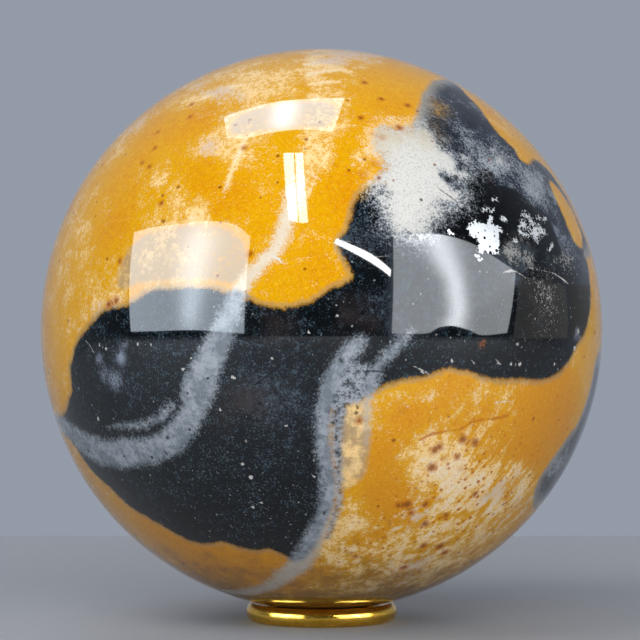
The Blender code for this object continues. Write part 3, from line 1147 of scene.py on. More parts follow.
class StoneSheet(Sheet):
    """The stone's material. Its zones lie over each other and share one set of noises."""

    def __init__(self, look: StoneFinish, centre: Vector) -> None:
        """Starts the material and makes the noises that the zones share.

        Args:
            look: The stone's colours and gloss.
            centre: The ball's centre, about which the patterns are placed.
        """
        super().__init__("polished_stone")
        self.look = look
        self.place = self.millimetres(centre)
        self.up = self.height(self.place)
        self.fine = self.noise(self.place, 2.9, detail=2, rough=0.7)
        self.coarse = self.noise(self.place, 1.15, detail=4, rough=0.72)
        self.patches = self.noise(self.place, 0.24, detail=8, rough=0.68, warp=0.1)
        ragged = self.noise(self.place, 0.55, detail=7, rough=0.75)
        self.edge = self.total(self.about_nought(ragged, 1.1), self.about_nought(self.fine, 0.8))

    def finished(self) -> bpy.types.Material:
        """Lays every zone over the warm ground and sets the gloss.

        Returns:
            The material.
        """
        colour = self.warm_ground()
        for lay_zone in (
            self.slate_field,
            self.charcoal_field,
            self.black_fields,
            self.snow_field,
            self.veins,
            self.cracks,
            self.scattered_specks,
            self.drawn_specks,
        ):
            colour = lay_zone(colour)
        metal = self.silver_share()
        grain = self.rise(self.fine, 0.56, 0.66, 0.0, 0.6)
        tarnish = self.blend(grain, self.look.silver, self.look.slate_light)
        self.feed(self.shader.inputs["Base Color"], self.blend(metal, colour, tarnish))
        self.feed(self.shader.inputs["Metallic"], self.times(metal, self.look.silver_metal))
        marks = self.rubbing(self.place, 0.9, 0.12)
        gloss = self.look.gloss_roughness
        silver_extra = self.times(metal, self.look.silver_roughness - gloss)
        self.feed(self.shader.inputs["Roughness"], self.total(marks, silver_extra, gloss))
        self.shader.inputs["IOR"].default_value = self.look.index
        return self.material

    def silver_share(self) -> Socket:
        """Share of bare silver at each point: chipped patches with pinholes in them.

        Returns:
            A mask's socket.
        """
        chips = self.noise(self.place, 2.4, detail=3, rough=0.65)
        crumbs = self.times(self.drawn("silver_broken"), self.about_nought(self.fine, 3.2))
        metal = self.zone("silver", self.total(self.about_nought(chips, 1.0), crumbs), 2.2, 0.06)
        distance, chance = self.cells(self.place, 1.1)
        pinhole = self.calc("SUBTRACT", self.rise(chance, 0.3, 1.0, 0.0, 0.42), distance)
        return self.times(metal, self.rise(pinhole, 0.05, -0.05))

    def zone(self, name: str, edge: Socket, waver: float, soft: float) -> Socket:
        """Share of a drawn zone at each point.

        Args:
            name: The zone's attribute.
            edge: Noise around nought that frays the zone's edge.
            waver: Millimetres by which the noise moves the edge.
            soft: Half the width over which the zone fades, in millimetres.

        Returns:
            A mask's socket.
        """
        moved = self.total(self.drawn(name), self.times(edge, waver))
        return self.rise(moved, -soft, soft)

    def warm_ground(self) -> Socket:
        """The yellow and orange ground with its cream patches, which covers whatever no other zone does. It
        carries painted shade towards the bottom and beige painted reflection under two softboxes.

        Returns:
            The colour's socket.
        """
        broad = self.noise(self.place, 0.07, detail=3, rough=0.5, warp=0.3)
        deep_cloud = self.drawn("deep_cloud")
        deep = self.total(
            deep_cloud,
            self.about_nought(broad, 1.2),
            self.about_nought(self.coarse, 3.2),
            self.about_nought(self.fine, 1.8),
            # Painted shade: more orange and brown towards the bottom of the ball.
            self.rise(self.up, -2.0, -26.0, 0.0, 0.2),
        )
        colour = self.layered(
            self.look.yellow,
            (self.look.orange, deep, -0.25, 0.75, 1.0),
            (self.look.brown, deep, 1.3, 2.2, 0.4),
        )

        streaks = self.noise(self.stretched(self.place, (12, -24, 0), 6.0), 0.6, detail=5, rough=0.65)
        streaked = self.times(self.drawn("streak_cloud"), self.about_nought(streaks, 6.0))
        cloud = self.total(
            self.drawn("pale_cloud"),
            self.times(self.rise(self.drawn("pale_band"), -2.6, 0.5), 0.95),
            self.times(self.zone("amber", self.edge, 0.5, 0.3), -0.3),
            self.times(deep_cloud, -1.0),
            self.about_nought(self.patches, 3.8),
            self.about_nought(self.coarse, 2.8),
            self.about_nought(self.fine, 2.0),
            streaked,
        )
        colour = self.layered(
            colour,
            (self.look.peach, cloud, 0.15, 0.5, 0.85),
            (self.look.cream, cloud, 0.55, 1.0, 0.9),
            (self.look.ivory, cloud, 1.1, 1.9, 0.8),
        )
        purple = self.times(self.rise(cloud, 0.5, 1.0), self.rise(broad, 0.5, 0.62, 0.0, 0.7))
        colour = self.blend(purple, colour, self.look.lilac)
        colour = self.layered(
            colour,
            (self.look.light_grain, self.fine, 0.53, 0.68, 0.6),
            (self.look.orange, self.fine, 0.47, 0.32, 0.7),
        )
        bare = self.total(self.coarse, self.about_nought(self.patches, 1.2))
        # Beige zones: real stone below the equator; above it, painted reflection under the left and top
        # softboxes.
        sand_and_painted_reflection_share = self.zone("sand", self.edge, 1.4, 0.7)
        sand_and_painted_reflection_share = self.times(sand_and_painted_reflection_share, self.rise(bare, 0.72, 0.42, 0.45, 0.95))
        pale_sand = self.blend(self.rise(self.patches, 0.44, 0.6), self.look.sand, self.look.cream)
        # Above the equator only the plain beige shows, as painted reflection; below it the real cream and
        # sand mix shows.
        sand = self.blend(self.rise(self.up, 2.0, -6.0), self.look.sand, pale_sand)
        colour = self.blend(sand_and_painted_reflection_share, colour, sand)

        # Painted shade: the lower crescent turns a darker tan, for the underside that faces away from the
        # light.
        low = self.total(self.up, self.about_nought(self.patches, 26.0))
        return self.blend(self.rise(low, -35.0, -48.0, 0.0, 0.75), colour, self.look.tan)

    def slate_field(self, colour: Socket) -> Socket:
        """The mottled blue-grey zone with its pale rim.

        Args:
            colour: The colour below.

        Returns:
            The colour's socket.
        """
        flecks = self.noise(self.stretched(self.place, (0, 35, 20), 2.6), 2.1, detail=4, rough=0.85)
        broad = self.noise(self.place, 0.16, detail=4, rough=0.6)
        mix = self.total(
            flecks,
            self.about_nought(broad, 1.6),
            self.about_nought(self.fine, 1.1),
            self.times(self.drawn("blue_cloud"), 0.15),
        )
        slate = self.layered(
            self.look.slate,
            (self.look.slate_light, mix, 0.54, 0.92, 1.0),
            (self.look.soot, mix, 0.5, 0.3, 0.85),
        )
        stain = self.times(self.drawn("beige_cloud"), self.rise(self.coarse, 0.4, 0.62, 0.2, 0.9))
        slate = self.blend(stain, slate, self.look.ochre)
        inwards = self.total(self.drawn("slate_rim"), self.times(self.edge, 2.0))
        slate = self.blend(self.rise(inwards, 0.3, 3.0, 0.75, 0.0), slate, self.look.slate_rim)
        return self.blend(self.zone("slate", self.edge, 1.8, 0.6), colour, slate)

    def charcoal_field(self, colour: Socket) -> Socket:
        """The large dark zone, peppered with lighter grains, stained in places and painted darker towards
        the bottom as shade.

        Args:
            colour: The colour below.

        Returns:
            The colour's socket.
        """
        broad = self.noise(self.place, 0.2, detail=4, rough=0.55, warp=0.2)
        lumps = self.noise(self.place, 0.8, detail=5, rough=0.74)
        tone = self.total(
            self.about_nought(broad, 1.6),
            self.about_nought(lumps, 3.3),
            self.about_nought(self.fine, 4.2),
            # Painted shade: the dark zone darkens towards the bottom of the ball.
            self.rise(self.up, -12.0, -42.0, 0.02, -0.3),
            self.times(self.drawn("shade_cloud"), -0.5),
            -0.22,
        )
        dark = self.layered(
            self.look.charcoal,
            (self.look.smoke, tone, -0.2, 0.85, 1.0),
            (self.look.soot, tone, -0.05, -0.6, 1.0),
        )
        stain = self.times(self.drawn("rust_cloud"), self.rise(broad, 0.3, 0.6))
        dark = self.blend(stain, dark, self.look.umber)
        blue = self.calc("MULTIPLY", self.drawn("blue_cloud"), self.rise(tone, -1.3, 0.3), clamp=True)
        dark = self.blend(blue, dark, self.look.pale_blue)
        moved = self.total(self.drawn("charcoal"), self.times(self.edge, 1.5))
        off_edge = self.calc("ABSOLUTE", self.total(moved, 0.35))
        off_slate = self.rise(self.drawn("slate"), 0.2, -1.2)
        halo = self.times(self.rise(off_edge, 0.8, 0.0, 0.0, 0.55), off_slate)
        colour = self.blend(halo, colour, self.look.halo)
        return self.blend(self.rise(moved, -0.45, 0.5), colour, dark)

    def black_fields(self, colour: Socket) -> Socket:
        """The ash and jet zones, with the gravel between the veins.

        Args:
            colour: The colour below.

        Returns:
            The colour's socket.
        """
        ash = self.blend(self.rise(self.coarse, 0.4, 0.7), self.look.ash, self.look.smoke)
        colour = self.blend(self.zone("ash", self.edge, 2.0, 1.4), colour, ash)
        gritty = self.total(self.fine, self.about_nought(self.coarse, 0.9), self.drawn("grit_cloud"))
        in_dark = self.rise(self.drawn("charcoal"), 0.0, 0.5, 0.0, 0.85)
        colour = self.blend(self.times(self.rise(gritty, 0.74, 0.94), in_dark), colour, self.look.grit)

        lines = self.noise(self.stretched(self.place, (0, -42, 0), 7.0), 2.2, detail=3, rough=0.6)
        jet = self.layered(
            self.look.soot,
            (self.look.umber, lines, 0.54, 0.70, 0.55),
            (self.look.smoke, self.fine, 0.62, 0.76, 0.6),
        )
        patch = self.times(self.drawn("beige_cloud"), self.rise(self.coarse, 0.42, 0.62))
        jet = self.blend(patch, jet, self.look.grit)
        streaky = self.total(self.edge, self.about_nought(lines, 1.4))
        colour = self.blend(self.zone("jet", streaky, 1.3, 0.3), colour, jet)

        gravel = self.layered(
            self.look.ash,
            (self.look.vein_light, self.coarse, 0.34, 0.6, 1.0),
            (self.look.soot, self.fine, 0.46, 0.32, 0.85),
        )
        return self.blend(self.zone("gravel", self.edge, 1.6, 0.8), colour, gravel)

    def snow_field(self, colour: Socket) -> Socket:
        """The white zone, which breaks up into grains at its edges.

        Args:
            colour: The colour below.

        Returns:
            The colour's socket.
        """
        depth = self.total(
            self.drawn("snow"),
            self.times(self.edge, 3.0),
            self.about_nought(self.fine, 6.5),
            self.about_nought(self.coarse, 7.0),
            self.about_nought(self.patches, 6.0),
        )
        snow = self.layered(
            self.look.snow,
            (self.look.slate_light, self.fine, 0.5, 0.68, 0.5),
            (self.look.slate_light, self.coarse, 0.60, 0.74, 0.6),
        )
        warm = self.times(self.drawn("beige_cloud"), self.rise(self.patches, 0.34, 0.6))
        snow = self.blend(warm, snow, self.look.beige)
        dim = self.times(self.drawn("blue_cloud"), self.rise(self.coarse, 0.62, 0.42, 0.2, 0.8))
        snow = self.blend(self.calc("MINIMUM", dim, 0.8), snow, self.look.slate_light)
        near_amber = self.rise(self.drawn("amber"), -1.4, 0.4)
        veil = self.blend(near_amber, self.look.vein_light, self.look.cream)
        colour = self.blend(self.rise(depth, -3.0, 0.8, 0.0, 0.6), colour, veil)
        return self.blend(self.rise(depth, -0.6, 1.8), colour, snow)

    def veins(self, colour: Socket) -> Socket:
        """The pale bands: dusty grey in the dark zone, ivory above it and lilac grey below.

        Args:
            colour: The colour below.

        Returns:
            The colour's socket.
        """
        broad = self.noise(self.place, 0.3, detail=4, rough=0.6)
        body = self.total(broad, self.about_nought(self.coarse, 0.8))
        vein = self.layered(
            self.look.vein,
            (self.look.vein_light, body, 0.35, 0.7, 1.0),
            (self.look.slate, self.coarse, 0.62, 0.76, 0.5),
            (self.look.slate, self.fine, 0.57, 0.76, 0.35),
            (self.look.vein_light, self.fine, 0.44, 0.30, 0.5),
        )
        warm_tint = self.blend(self.rise(self.up, -12.0, 4.0), self.look.vein_warm, self.look.ivory)
        warm = self.rise(self.drawn("charcoal"), -0.2, -1.6, 0.0, 0.75)
        vein = self.blend(warm, vein, warm_tint)
        moved = self.total(
            self.drawn("white_vein"),
            self.times(self.edge, 1.4),
            self.about_nought(self.coarse, 1.5),
            self.about_nought(self.fine, 1.5),
        )
        return self.blend(self.rise(moved, -0.95, 0.85), colour, vein)

    def cracks(self, colour: Socket) -> Socket:
        """The healed cracks, each in its own colour.

        Args:
            colour: The colour below.

        Returns:
            The colour's socket.
        """
        for name, tint in {"black": self.look.soot, "rust": self.look.rust, "tan": self.look.snow}.items():
            away = self.calc("ABSOLUTE", self.drawn(name + "_crack"))
            inside = self.calc("SUBTRACT", self.drawn(name + "_crack_width"), away)
            broken = 0.9 if name == "rust" else 0.3
            inside = self.total(
                inside,
                self.about_nought(self.fine, 0.6),
                self.about_nought(self.coarse, broken),
            )
            colour = self.blend(self.rise(inside, -0.12, 0.16, 0.0, 0.8), colour, tint)
        return colour

    def scattered_specks(self, colour: Socket) -> Socket:
        """Pin-sized brown specks in the orange, and black and white ones in the dark.

        Args:
            colour: The colour below.

        Returns:
            The colour's socket.
        """
        dark = self.rise(self.drawn("charcoal"), -0.3, 0.3)
        light = self.calc("SUBTRACT", 1.0, dark)
        streaked = self.times(self.drawn("streak_cloud"), light)
        for dots, where, tint in (
            (BROWN_DOTS, light, self.look.brown),
            (RUST_FRECKLES, streaked, self.look.rust),
            (BLACK_DOTS, dark, self.look.soot),
            (PALE_DOTS, dark, self.look.slate_light),
        ):
            distance, chance = self.cells(self.place, dots.per_mm)
            near = self.calc("SUBTRACT", self.rise(chance, dots.rarity, 1.0, 0.0, dots.size), distance)
            frayed = self.total(near, self.about_nought(self.fine, dots.fray))
            share = self.times(self.rise(frayed, *dots.soft, 0.0, dots.strength), where)
            colour = self.blend(share, colour, tint)
        return colour

    def drawn_specks(self, colour: Socket) -> Socket:
        """The larger specks, each in its own place.

        Args:
            colour: The colour below.

        Returns:
            The colour's socket.
        """
        for kind in SpeckKind:
            spot = self.node("ShaderNodeAttribute", attribute_name=kind.value + "_speck").outputs["Vector"]
            between = self.node("ShaderNodeVectorMath", {0: self.place, 1: spot}, operation="DISTANCE")
            size = self.drawn(kind.value + "_speck_size")
            inside = self.calc("SUBTRACT", size, between.outputs["Value"])
            inside = self.total(
                inside,
                self.about_nought(self.fine, kind.fray),
                self.about_nought(self.coarse, kind.fray),
            )
            # Painted glint: the white speck stands for light caught in a small pit, with a dark rim laid
            # round it first.
            if kind is SpeckKind.WHITE:
                colour = self.blend(self.rise(inside, -0.3, -0.1, 0.0, 0.5), colour, self.look.soot)
            if kind is SpeckKind.BROWN:
                colour = self.blend(self.rise(inside, -0.8, 0.0, 0.0, 0.6), colour, self.look.rust)
            share = self.rise(inside, -kind.soft, kind.soft, 0.0, kind.strength)
            colour = self.blend(share, colour, kind.tint(self.look))
        return colour


@dataclass
class StoneBall:
    """The ball: sizes from the frame, a fine mesh and the drawn pattern."""

    node: str = "stone_ball"
    subdivisions: int = 7
    fine_front: float = -0.2
    silver_window: tuple[Place, Place] = ((25.0, 13.0), (58.0, 27.0))
    finish: StoneFinish = field(default_factory=StoneFinish)

    def __post_init__(self) -> None:
        """Takes the ball's radius and centre from the frame."""
        low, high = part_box(self.node)
        self.radius = (high.z - low.z) / 2
        self.centre = (low + high) / 2

    def build(self) -> bpy.types.Object:
        """Models, paints and dresses the ball.

        Returns:
            The ball's object.
        """
        deselect()
        bpy.ops.mesh.primitive_ico_sphere_add(
            subdivisions=self.subdivisions, radius=self.radius, location=self.centre
        )
        ball = bpy.context.object
        ball.name = ball.data.name = "polished_ball"
        settle(ball)
        self.refine(ball, lambda way: way.y < self.fine_front)
        self.refine(ball, self.near_silver)
        self.round_off(ball)
        StonePattern(self.radius / MM).paint(ball.data, self.centre)
        ball.data.materials.append(self.finish.make(self.centre))
        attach(ball, "root")
        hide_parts(self.node)
        return ball

    def near_silver(self, way: Vector) -> bool:
        """True in the window round the silver patches, whose edges need the finest mesh."""
        longitude = math.degrees(math.atan2(way.x, -way.y))
        latitude = math.degrees(math.asin(max(-1.0, min(1.0, way.z))))
        (left, bottom), (right, top) = self.silver_window
        return left < longitude < right and bottom < latitude < top

    def refine(self, ball: bpy.types.Object, wanted: Callable[[Vector], bool]) -> None:
        """Halves the edges of the faces whose middle lies where it is wanted.

        Args:
            ball: The ball.
            wanted: Test of a unit direction from the ball's centre.
        """
        deselect()
        bpy.context.view_layer.objects.active = ball
        ball.select_set(True)
        bpy.ops.object.mode_set(mode="EDIT")
        bpy.ops.mesh.select_mode(type="FACE")
        mesh = bmesh.from_edit_mesh(ball.data)
        for face in mesh.faces:
            face.select_set(wanted((face.calc_center_median() - self.centre).normalized()))
        bmesh.update_edit_mesh(ball.data)
        bpy.ops.mesh.subdivide(number_cuts=1)
        bpy.ops.mesh.select_all(action="SELECT")
        bpy.ops.mesh.quads_convert_to_tris()
        bpy.ops.object.mode_set(mode="OBJECT")

    def round_off(self, ball: bpy.types.Object) -> None:
        """Puts every vertex on the true sphere and gives it the sphere's own normal.

        Args:
            ball: The ball.
        """
        ways = [(vertex.co - self.centre).normalized() for vertex in ball.data.vertices]
        for vertex, way in zip(ball.data.vertices, ways):
            vertex.co = self.centre + way * self.radius
        ball.data.shade_smooth()
        ball.data.normals_split_custom_set_from_vertices(ways)


@dataclass(frozen=True)
class BrassFinish:
    """Turned and lacquered brass."""

    bright: Colour = linear(255, 206, 86)
    dull: Colour = linear(236, 182, 60)
    stain: Colour = linear(84, 50, 10)
    roughness: float = 0.17
    stain_top_mm: float = 2.2
    stain_full_mm: float = 1.0

    def make(self) -> bpy.types.Material:
        """Builds the brass material.

        Returns:
            The material.
        """
        sheet = Sheet("polished_brass")
        place = sheet.millimetres(Vector())
        cloud = sheet.noise(place, 0.5, detail=5, rough=0.6)
        pits = sheet.noise(place, 3.6, detail=3, rough=0.75)
        colour = sheet.blend(sheet.rise(cloud, 0.35, 0.7), self.bright, self.dull)
        low = sheet.rise(sheet.height(place), self.stain_top_mm, self.stain_full_mm)
        pitted = sheet.times(sheet.rise(pits, 0.52, 0.66, 0.0, 0.6), low)
        colour = sheet.blend(pitted, colour, self.stain)
        sheet.feed(sheet.shader.inputs["Base Color"], colour)
        sheet.shader.inputs["Metallic"].default_value = 1.0
        wear = sheet.rise(cloud, 0.3, 0.7, self.roughness - 0.05, self.roughness + 0.07)
        sheet.feed(sheet.shader.inputs["Roughness"], sheet.total(wear, sheet.rubbing(place, 1.4, 0.12)))
        return sheet.material


@dataclass
class BrassRing:
    """The ring stand: a round bar closed to a ring, with a flat foot and a seat turned for the ball."""

    ball: StoneBall
    node: str = "brass_ring_stand"
    bar_diameter: float = 0.0036
    foot_width: float = 0.0014
    seat_clearance: float = 0.0003
    bar_points: int = 96
    turns: int = 240
    merge_distance: float = 1e-6
    sharp_angle: float = 35.0
    finish: BrassFinish = field(default_factory=BrassFinish)

    def __post_init__(self) -> None:
        """Takes the ring's size from the frame."""
        low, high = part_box(self.node)
        self.outer_radius = (high.x - low.x) / 2
        self.middle_radius = self.outer_radius - self.bar_diameter / 2
        half_foot = math.asin(self.foot_width / self.bar_diameter)
        self.bar_height = self.bar_diameter / 2 * math.cos(half_foot)

    def build(self) -> bpy.types.Object:
        """Models and dresses the ring.

        Returns:
            The ring's object.
        """
        deselect()
        bpy.ops.mesh.primitive_circle_add(
            vertices=self.bar_points,
            radius=self.bar_diameter / 2,
            fill_type="NOTHING",
            location=(self.middle_radius, 0.0, self.bar_height),
            rotation=(math.pi / 2, 0.0, 0.0),
        )
        ring = bpy.context.object
        ring.name = ring.data.name = "turned_brass_ring"
        settle(ring)
        seat = self.ball.radius + self.seat_clearance
        for vertex in ring.data.vertices:
            vertex.co.z = max(vertex.co.z, 0.0)
            away = vertex.co - self.ball.centre
            if away.length < seat:
                vertex.co = self.ball.centre + away.normalized() * seat
            vertex.co.y = 0.0
        bpy.context.view_layer.objects.active = ring
        bpy.ops.object.mode_set(mode="EDIT")
        bpy.ops.mesh.select_all(action="SELECT")
        bpy.ops.mesh.spin(
            steps=self.turns,
            angle=2 * math.pi,
            center=(0.0, 0.0, 0.0),
            axis=(0.0, 0.0, 1.0),
            use_auto_merge=True,
        )
        bpy.ops.mesh.select_all(action="SELECT")
        bpy.ops.mesh.remove_doubles(threshold=self.merge_distance)
        bpy.ops.mesh.normals_make_consistent(inside=False)
        bpy.ops.object.mode_set(mode="OBJECT")
        ring.data.shade_smooth()
        deselect()
        ring.select_set(True)
        bpy.context.view_layer.objects.active = ring
        bpy.ops.object.shade_smooth_by_angle(angle=math.radians(self.sharp_angle))
        ring.data.materials.append(self.finish.make())
        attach(ring, "root")
        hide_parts(self.node)
        return ring


@dataclass(frozen=True)
class Viewpoint:
    """Where the photographer stood, from the picture's own marks."""

    distance: float = 0.5499
    height: float = 0.0596
    picture_px: float = 640.0
    ball_middle_px: tuple[float, float] = (321.5, 329.5)
    ball_radius_px: float = 281.0
    sensor_mm: float = 36.0
    nearest: float = 0.01

    @property
    def place(self) -> Vector:
        """The camera's place."""
        return Vector((0.0, -self.distance, self.height))

    def focal_px(self, ball: StoneBall) -> float:
        """Focal length in pixels that gives the ball its size in the picture."""
        reach = (ball.centre - self.place).length
        return self.ball_radius_px / math.tan(math.asin(ball.radius / reach))

    def make(self, ball: StoneBall) -> bpy.types.Object:
        """Adds the camera, aimed so that the ball lands where the picture has it.

        Args:
            ball: The ball.

        Returns:
            The camera's object.
        """
        focal = self.focal_px(ball)
        to_ball = ball.centre - self.place
        right_px = self.ball_middle_px[0] - self.picture_px / 2
        down_px = self.ball_middle_px[1] - self.picture_px / 2
        turn = math.atan2(to_ball.x, to_ball.y) - math.atan(right_px / focal)
        pitch = math.atan2(to_ball.z, to_ball.y) + math.atan(down_px / focal)
        deselect()
        bpy.ops.object.camera_add(location=self.place, rotation=(math.pi / 2 + pitch, 0.0, -turn))
        camera = bpy.context.object
        camera.data.lens = focal / self.picture_px * self.sensor_mm
        camera.data.sensor_width = self.sensor_mm
        camera.data.clip_start = self.nearest
        bpy.context.scene.camera = camera
        return camera

    def mirrored(self, ball: StoneBall, place: Place) -> tuple[Vector, Vector]:
        """Follows the viewer's ray as the ball's surface mirrors it.

        Args:
            ball: The ball.
            place: Longitude and latitude of the mirror point.

        Returns:
            The mirror point and the ray's direction after it.
        """
        normal = direction(*place)
        point = ball.centre + normal * ball.radius
        ray = (point - self.place).normalized()
        return point, (ray - 2 * ray.dot(normal) * normal).normalized()


@dataclass(frozen=True)
class SoftLight:
    """A glowing panel, shaped by where its mirror image lies on the ball.

    The lower and upper edges run from the viewer's left to right. The hot line runs upwards, as
    places on the ball with the line's half width there, in degrees.
    """

    name: str
    lower: list[Place]
    upper: list[Place]
    glow: float
    hot_glow: float = 0.0
    hot_line: tuple[Step, ...] = ((0.0, 0.0, 1.0),)
    hot_fade: float = 4.0
    tint: Colour = (1.0, 1.0, 1.0)
    hot_tint: Colour = (1.03, 1.0, 0.94)
    distance: float = 1.0
    rows: int = 14
    columns: int = 24

    def make(self, viewpoint: Viewpoint, ball: StoneBall) -> bpy.types.Object:
        """Models the panel and makes it glow.

        Args:
            viewpoint: Where the mirror image is seen from.
            ball: The ball.

        Returns:
            The panel's object.
        """
        shares = np.linspace(0, 1, self.columns + 1)
        lower = self.spread(self.lower, shares)
        upper = self.spread(self.upper, shares)
        deselect()
        bpy.ops.mesh.primitive_grid_add(x_subdivisions=self.columns, y_subdivisions=self.rows, size=1.0)
        panel = bpy.context.object
        panel.name = panel.data.name = self.name
        panel.data.attributes.new("glow", "FLOAT", "POINT")
        panel.data.attributes.new("heat", "FLOAT", "POINT")
        for vertex in panel.data.vertices:
            column = round((vertex.co.x + 0.5) * self.columns)
            up = vertex.co.y + 0.5
            place = tuple(lower[column] + (upper[column] - lower[column]) * up)
            point, ray = viewpoint.mirrored(ball, place)
            vertex.co = point + ray * self.distance
            heat = self.heat(place)
            panel.data.attributes["heat"].data[vertex.index].value = heat
            panel.data.attributes["glow"].data[vertex.index].value = self.glow + self.hot_glow * heat
        sheet = Sheet(self.name + "_glow")
        sheet.tree.nodes.remove(sheet.shader)
        tint = sheet.blend(sheet.drawn("heat"), self.tint, self.hot_tint)
        emission = sheet.node("ShaderNodeEmission", {"Color": tint, "Strength": sheet.drawn("glow")})
        sheet.tree.links.new(emission.outputs[0], sheet.output.inputs["Surface"])
        panel.data.materials.append(sheet.material)
        panel.data.shade_smooth()
        panel.visible_camera = False
        panel.visible_diffuse = False
        panel.visible_shadow = False
        return panel

    def heat(self, place: Place) -> float:
        """Strength of the hot line at a place, from 0 to 1."""
        heights = [step[1] for step in self.hot_line]
        middle = np.interp(place[1], heights, [step[0] for step in self.hot_line])
        width = np.interp(place[1], heights, [step[2] for step in self.hot_line])
        past = max(heights[0] - place[1], place[1] - heights[-1], 0.0) / self.hot_fade
        return math.exp(-(((place[0] - middle) / width) ** 2) - past**2)

    def spread(self, places: list[Place], shares: np.ndarray) -> np.ndarray:
        """Even steps along one edge."""
        curve = smooth_curve(np.array(places), closed=False, steps=8)
        at = curve[:, 2] / (len(places) - 1)
        return np.stack([np.interp(shares, at, curve[:, axis]) for axis in (0, 1)], axis=1)


COOL = (0.88, 1.0, 1.13)

STUDIO_LIGHTS = [
    SoftLight(
        "left_softbox",
        lower=[(-39.3, 0.2), (-32, 0.4), (-24, 0.6), (-14.6, 0)],
        upper=[(-41.6, 19.6), (-36, 20.6), (-30, 21.2), (-24, 21.7), (-18, 21), (-14.2, 18.5)],
        glow=5.7,
        hot_glow=6.5,
        hot_line=((-25.6, 4.5, 2.2), (-25.4, 8.0, 2.8), (-25.4, 12.5, 3.6), (-25.0, 17.0, 3.8)),
        tint=COOL,
    ),
    SoftLight(
        "right_softbox",
        lower=[(13.2, 0), (20, 0), (22.5, 1.1), (25.5, 1.4), (29, 0.6), (32, -0.4), (38, 0)],
        upper=[(14.3, 19), (19, 19), (24, 19), (29, 18), (33, 16.5), (37, 14.2), (41.4, 11.8)],
        glow=4.4,
        hot_glow=11.0,
        hot_line=(
            (25.6, 1.0, 2.6), (26.8, 4.0, 2.0), (26.4, 10.0, 2.2), (24.8, 14.0, 3.0), (23.4, 18.0, 3.6),
        ),
        tint=(0.95, 1.0, 1.05),
    ),
    SoftLight(
        "top_softbox",
        lower=[(-24.5, 40.5), (-19, 40.5), (-13, 41.8), (-5, 42.6), (3, 42)],
        upper=[(-28.5, 46.6), (-20, 49.6), (-12, 51.2), (-2, 51.9), (7.2, 52.2)],
        glow=5.4,
        hot_glow=8.0,
        hot_line=((-10.5, 45.5, 3.4), (-10.5, 48.5, 3.4)),
        hot_fade=3.0,
        tint=COOL,
    ),
    SoftLight(
        "strip_left",
        lower=[(-6.6, 21.9), (-4.7, 21.2)],
        upper=[(-9.0, 36.6), (-6.6, 36.6)],
        glow=16.0,
        rows=8,
    ),
    SoftLight(
        "strip_right",
        lower=[(-4.4, 21.2), (-2.7, 21.2)],
        upper=[(-6.2, 36.6), (-4.4, 36.6)],
        glow=16.0,
        rows=8,
    ),
    SoftLight(
        "thin_tube",
        lower=[(2.6, 17.1), (5, 15.9), (8, 14.3), (10, 13.1), (12, 11.7), (13.2, 10.7)],
        upper=[(2.9, 18.1), (5, 17.2), (8, 15.9), (10, 14.8), (12, 13.3), (13.4, 12)],
        glow=30.0,
        rows=3,
    ),
    SoftLight(
        "far_screen",
        lower=[(39.5, -1.2), (56.6, -1.2)],
        upper=[(41.8, 10.8), (57, 9)],
        glow=0.42,
        rows=6,
    ),
    SoftLight(
        "side_screen",
        lower=[(58, -1), (72, -1)],
        upper=[(58, 9), (72, 9)],
        glow=0.26,
        rows=6,
    ),
]


@dataclass(frozen=True)
class Lamp:
    """A broad soft light that lights the matt part of the stone and is in no reflection."""

    name: str
    longitude: float
    elevation: float
    distance: float
    width: float
    power: float

    def make(self, ball: StoneBall) -> bpy.types.Object:
        """Adds the light, aimed at the ball.

        Args:
            ball: The ball.

        Returns:
            The light's object.
        """
        way = direction(self.longitude, self.elevation)
        deselect()
        bpy.ops.object.light_add(
            type="AREA",
            location=ball.centre + way * self.distance,
            rotation=way.to_track_quat("Z", "Y").to_euler(),
        )
        lamp = bpy.context.object
        lamp.name = lamp.data.name = self.name
        lamp.data.size = self.width
        lamp.data.energy = self.power
        lamp.visible_glossy = False
        return lamp


LAMPS = [
    Lamp("key_light", longitude=0.0, elevation=23.0, distance=1.5, width=1.1, power=23.0),
    Lamp("left_fill", longitude=-62.0, elevation=48.0, distance=1.3, width=0.8, power=7.8),
    Lamp("right_fill", longitude=58.0, elevation=8.0, distance=1.3, width=0.8, power=6.0),
    Lamp("back_fill", longitude=178.0, elevation=30.0, distance=1.6, width=1.2, power=9.0),
]


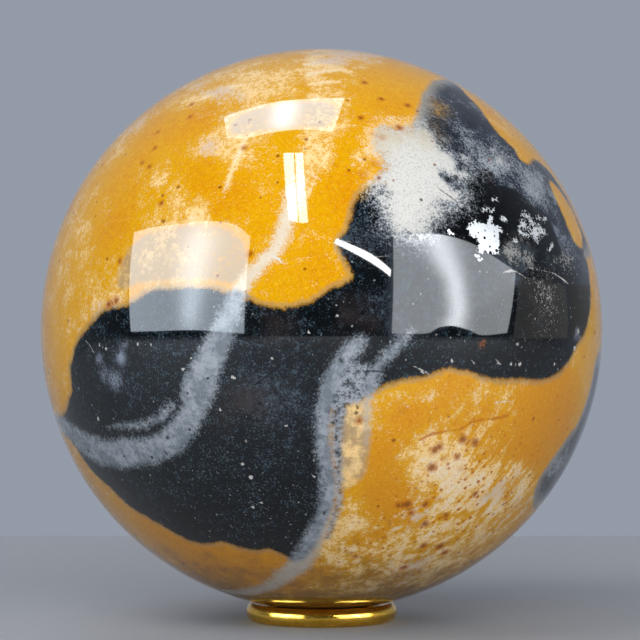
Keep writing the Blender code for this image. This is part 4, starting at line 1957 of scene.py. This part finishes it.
@dataclass(frozen=True)
class Table:
    """Pale table top that ends a little way behind the ball."""

    half_width: float = 1.6
    front: float = -1.8
    back: float = 0.186
    grey: Colour = linear(134, 137, 143)
    roughness: float = 0.7

    def make(self) -> bpy.types.Object:
        """Adds the table top.

        Returns:
            The table's object.
        """
        deselect()
        middle = (self.front + self.back) / 2
        bpy.ops.mesh.primitive_plane_add(size=1.0, location=(0.0, middle, 0.0))
        table = bpy.context.object
        table.name = table.data.name = "table_top"
        table.scale = (2 * self.half_width, self.back - self.front, 1.0)
        settle(table)
        sheet = Sheet("pale_table")
        sheet.feed(sheet.shader.inputs["Base Color"], self.grey)
        sheet.shader.inputs["Roughness"].default_value = self.roughness
        table.data.materials.append(sheet.material)
        return table


@dataclass(frozen=True)
class Room:
    """The even light of the room round the table."""

    wall: Colour = linear(148, 155, 168)
    dark_side: float = 0.16
    dark_until: float = -0.2
    pale_from: float = 0.8

    def make(self) -> None:
        """Lights the scene from all round: the pale wall behind the ball, a darker room before it."""
        world = bpy.data.worlds.new("room")
        world.use_nodes = True
        tree = world.node_tree
        background = tree.nodes["Background"]
        background.inputs["Color"].default_value = (*self.wall, 1.0)
        way = tree.nodes.new("ShaderNodeTexCoord")
        parts = tree.nodes.new("ShaderNodeSeparateXYZ")
        shade = tree.nodes.new("ShaderNodeMapRange")
        shade.interpolation_type = "SMOOTHSTEP"
        shade.inputs[1].default_value = self.dark_until
        shade.inputs[2].default_value = self.pale_from
        shade.inputs[3].default_value = self.dark_side
        tree.links.new(way.outputs["Generated"], parts.inputs[0])
        tree.links.new(parts.outputs["Y"], shade.inputs[0])
        tree.links.new(shade.outputs[0], background.inputs["Strength"])
        bpy.context.scene.world = world
        bpy.context.scene.view_settings.view_transform = "Standard"


def main() -> None:
    """Builds the ball, its ring, the table and the lights."""
    logging.basicConfig(level=logging.INFO, format="%(name)s: %(message)s")
    ball = StoneBall()
    viewpoint = Viewpoint()
    viewpoint.make(ball)
    Room().make()
    table = Table().make()
    log.info("%s ready", table.name)
    for lamp in LAMPS:
        log.info("%s ready", lamp.make(ball).name)
    for light in STUDIO_LIGHTS:
        log.info("%s ready", light.make(viewpoint, ball).name)
    piece = ball.build()
    log.info("%s: %d faces", piece.name, len(piece.data.polygons))
    ring = BrassRing(ball).build()
    log.info("%s: %d faces", ring.name, len(ring.data.polygons))


if __name__ == "__main__":
    main()
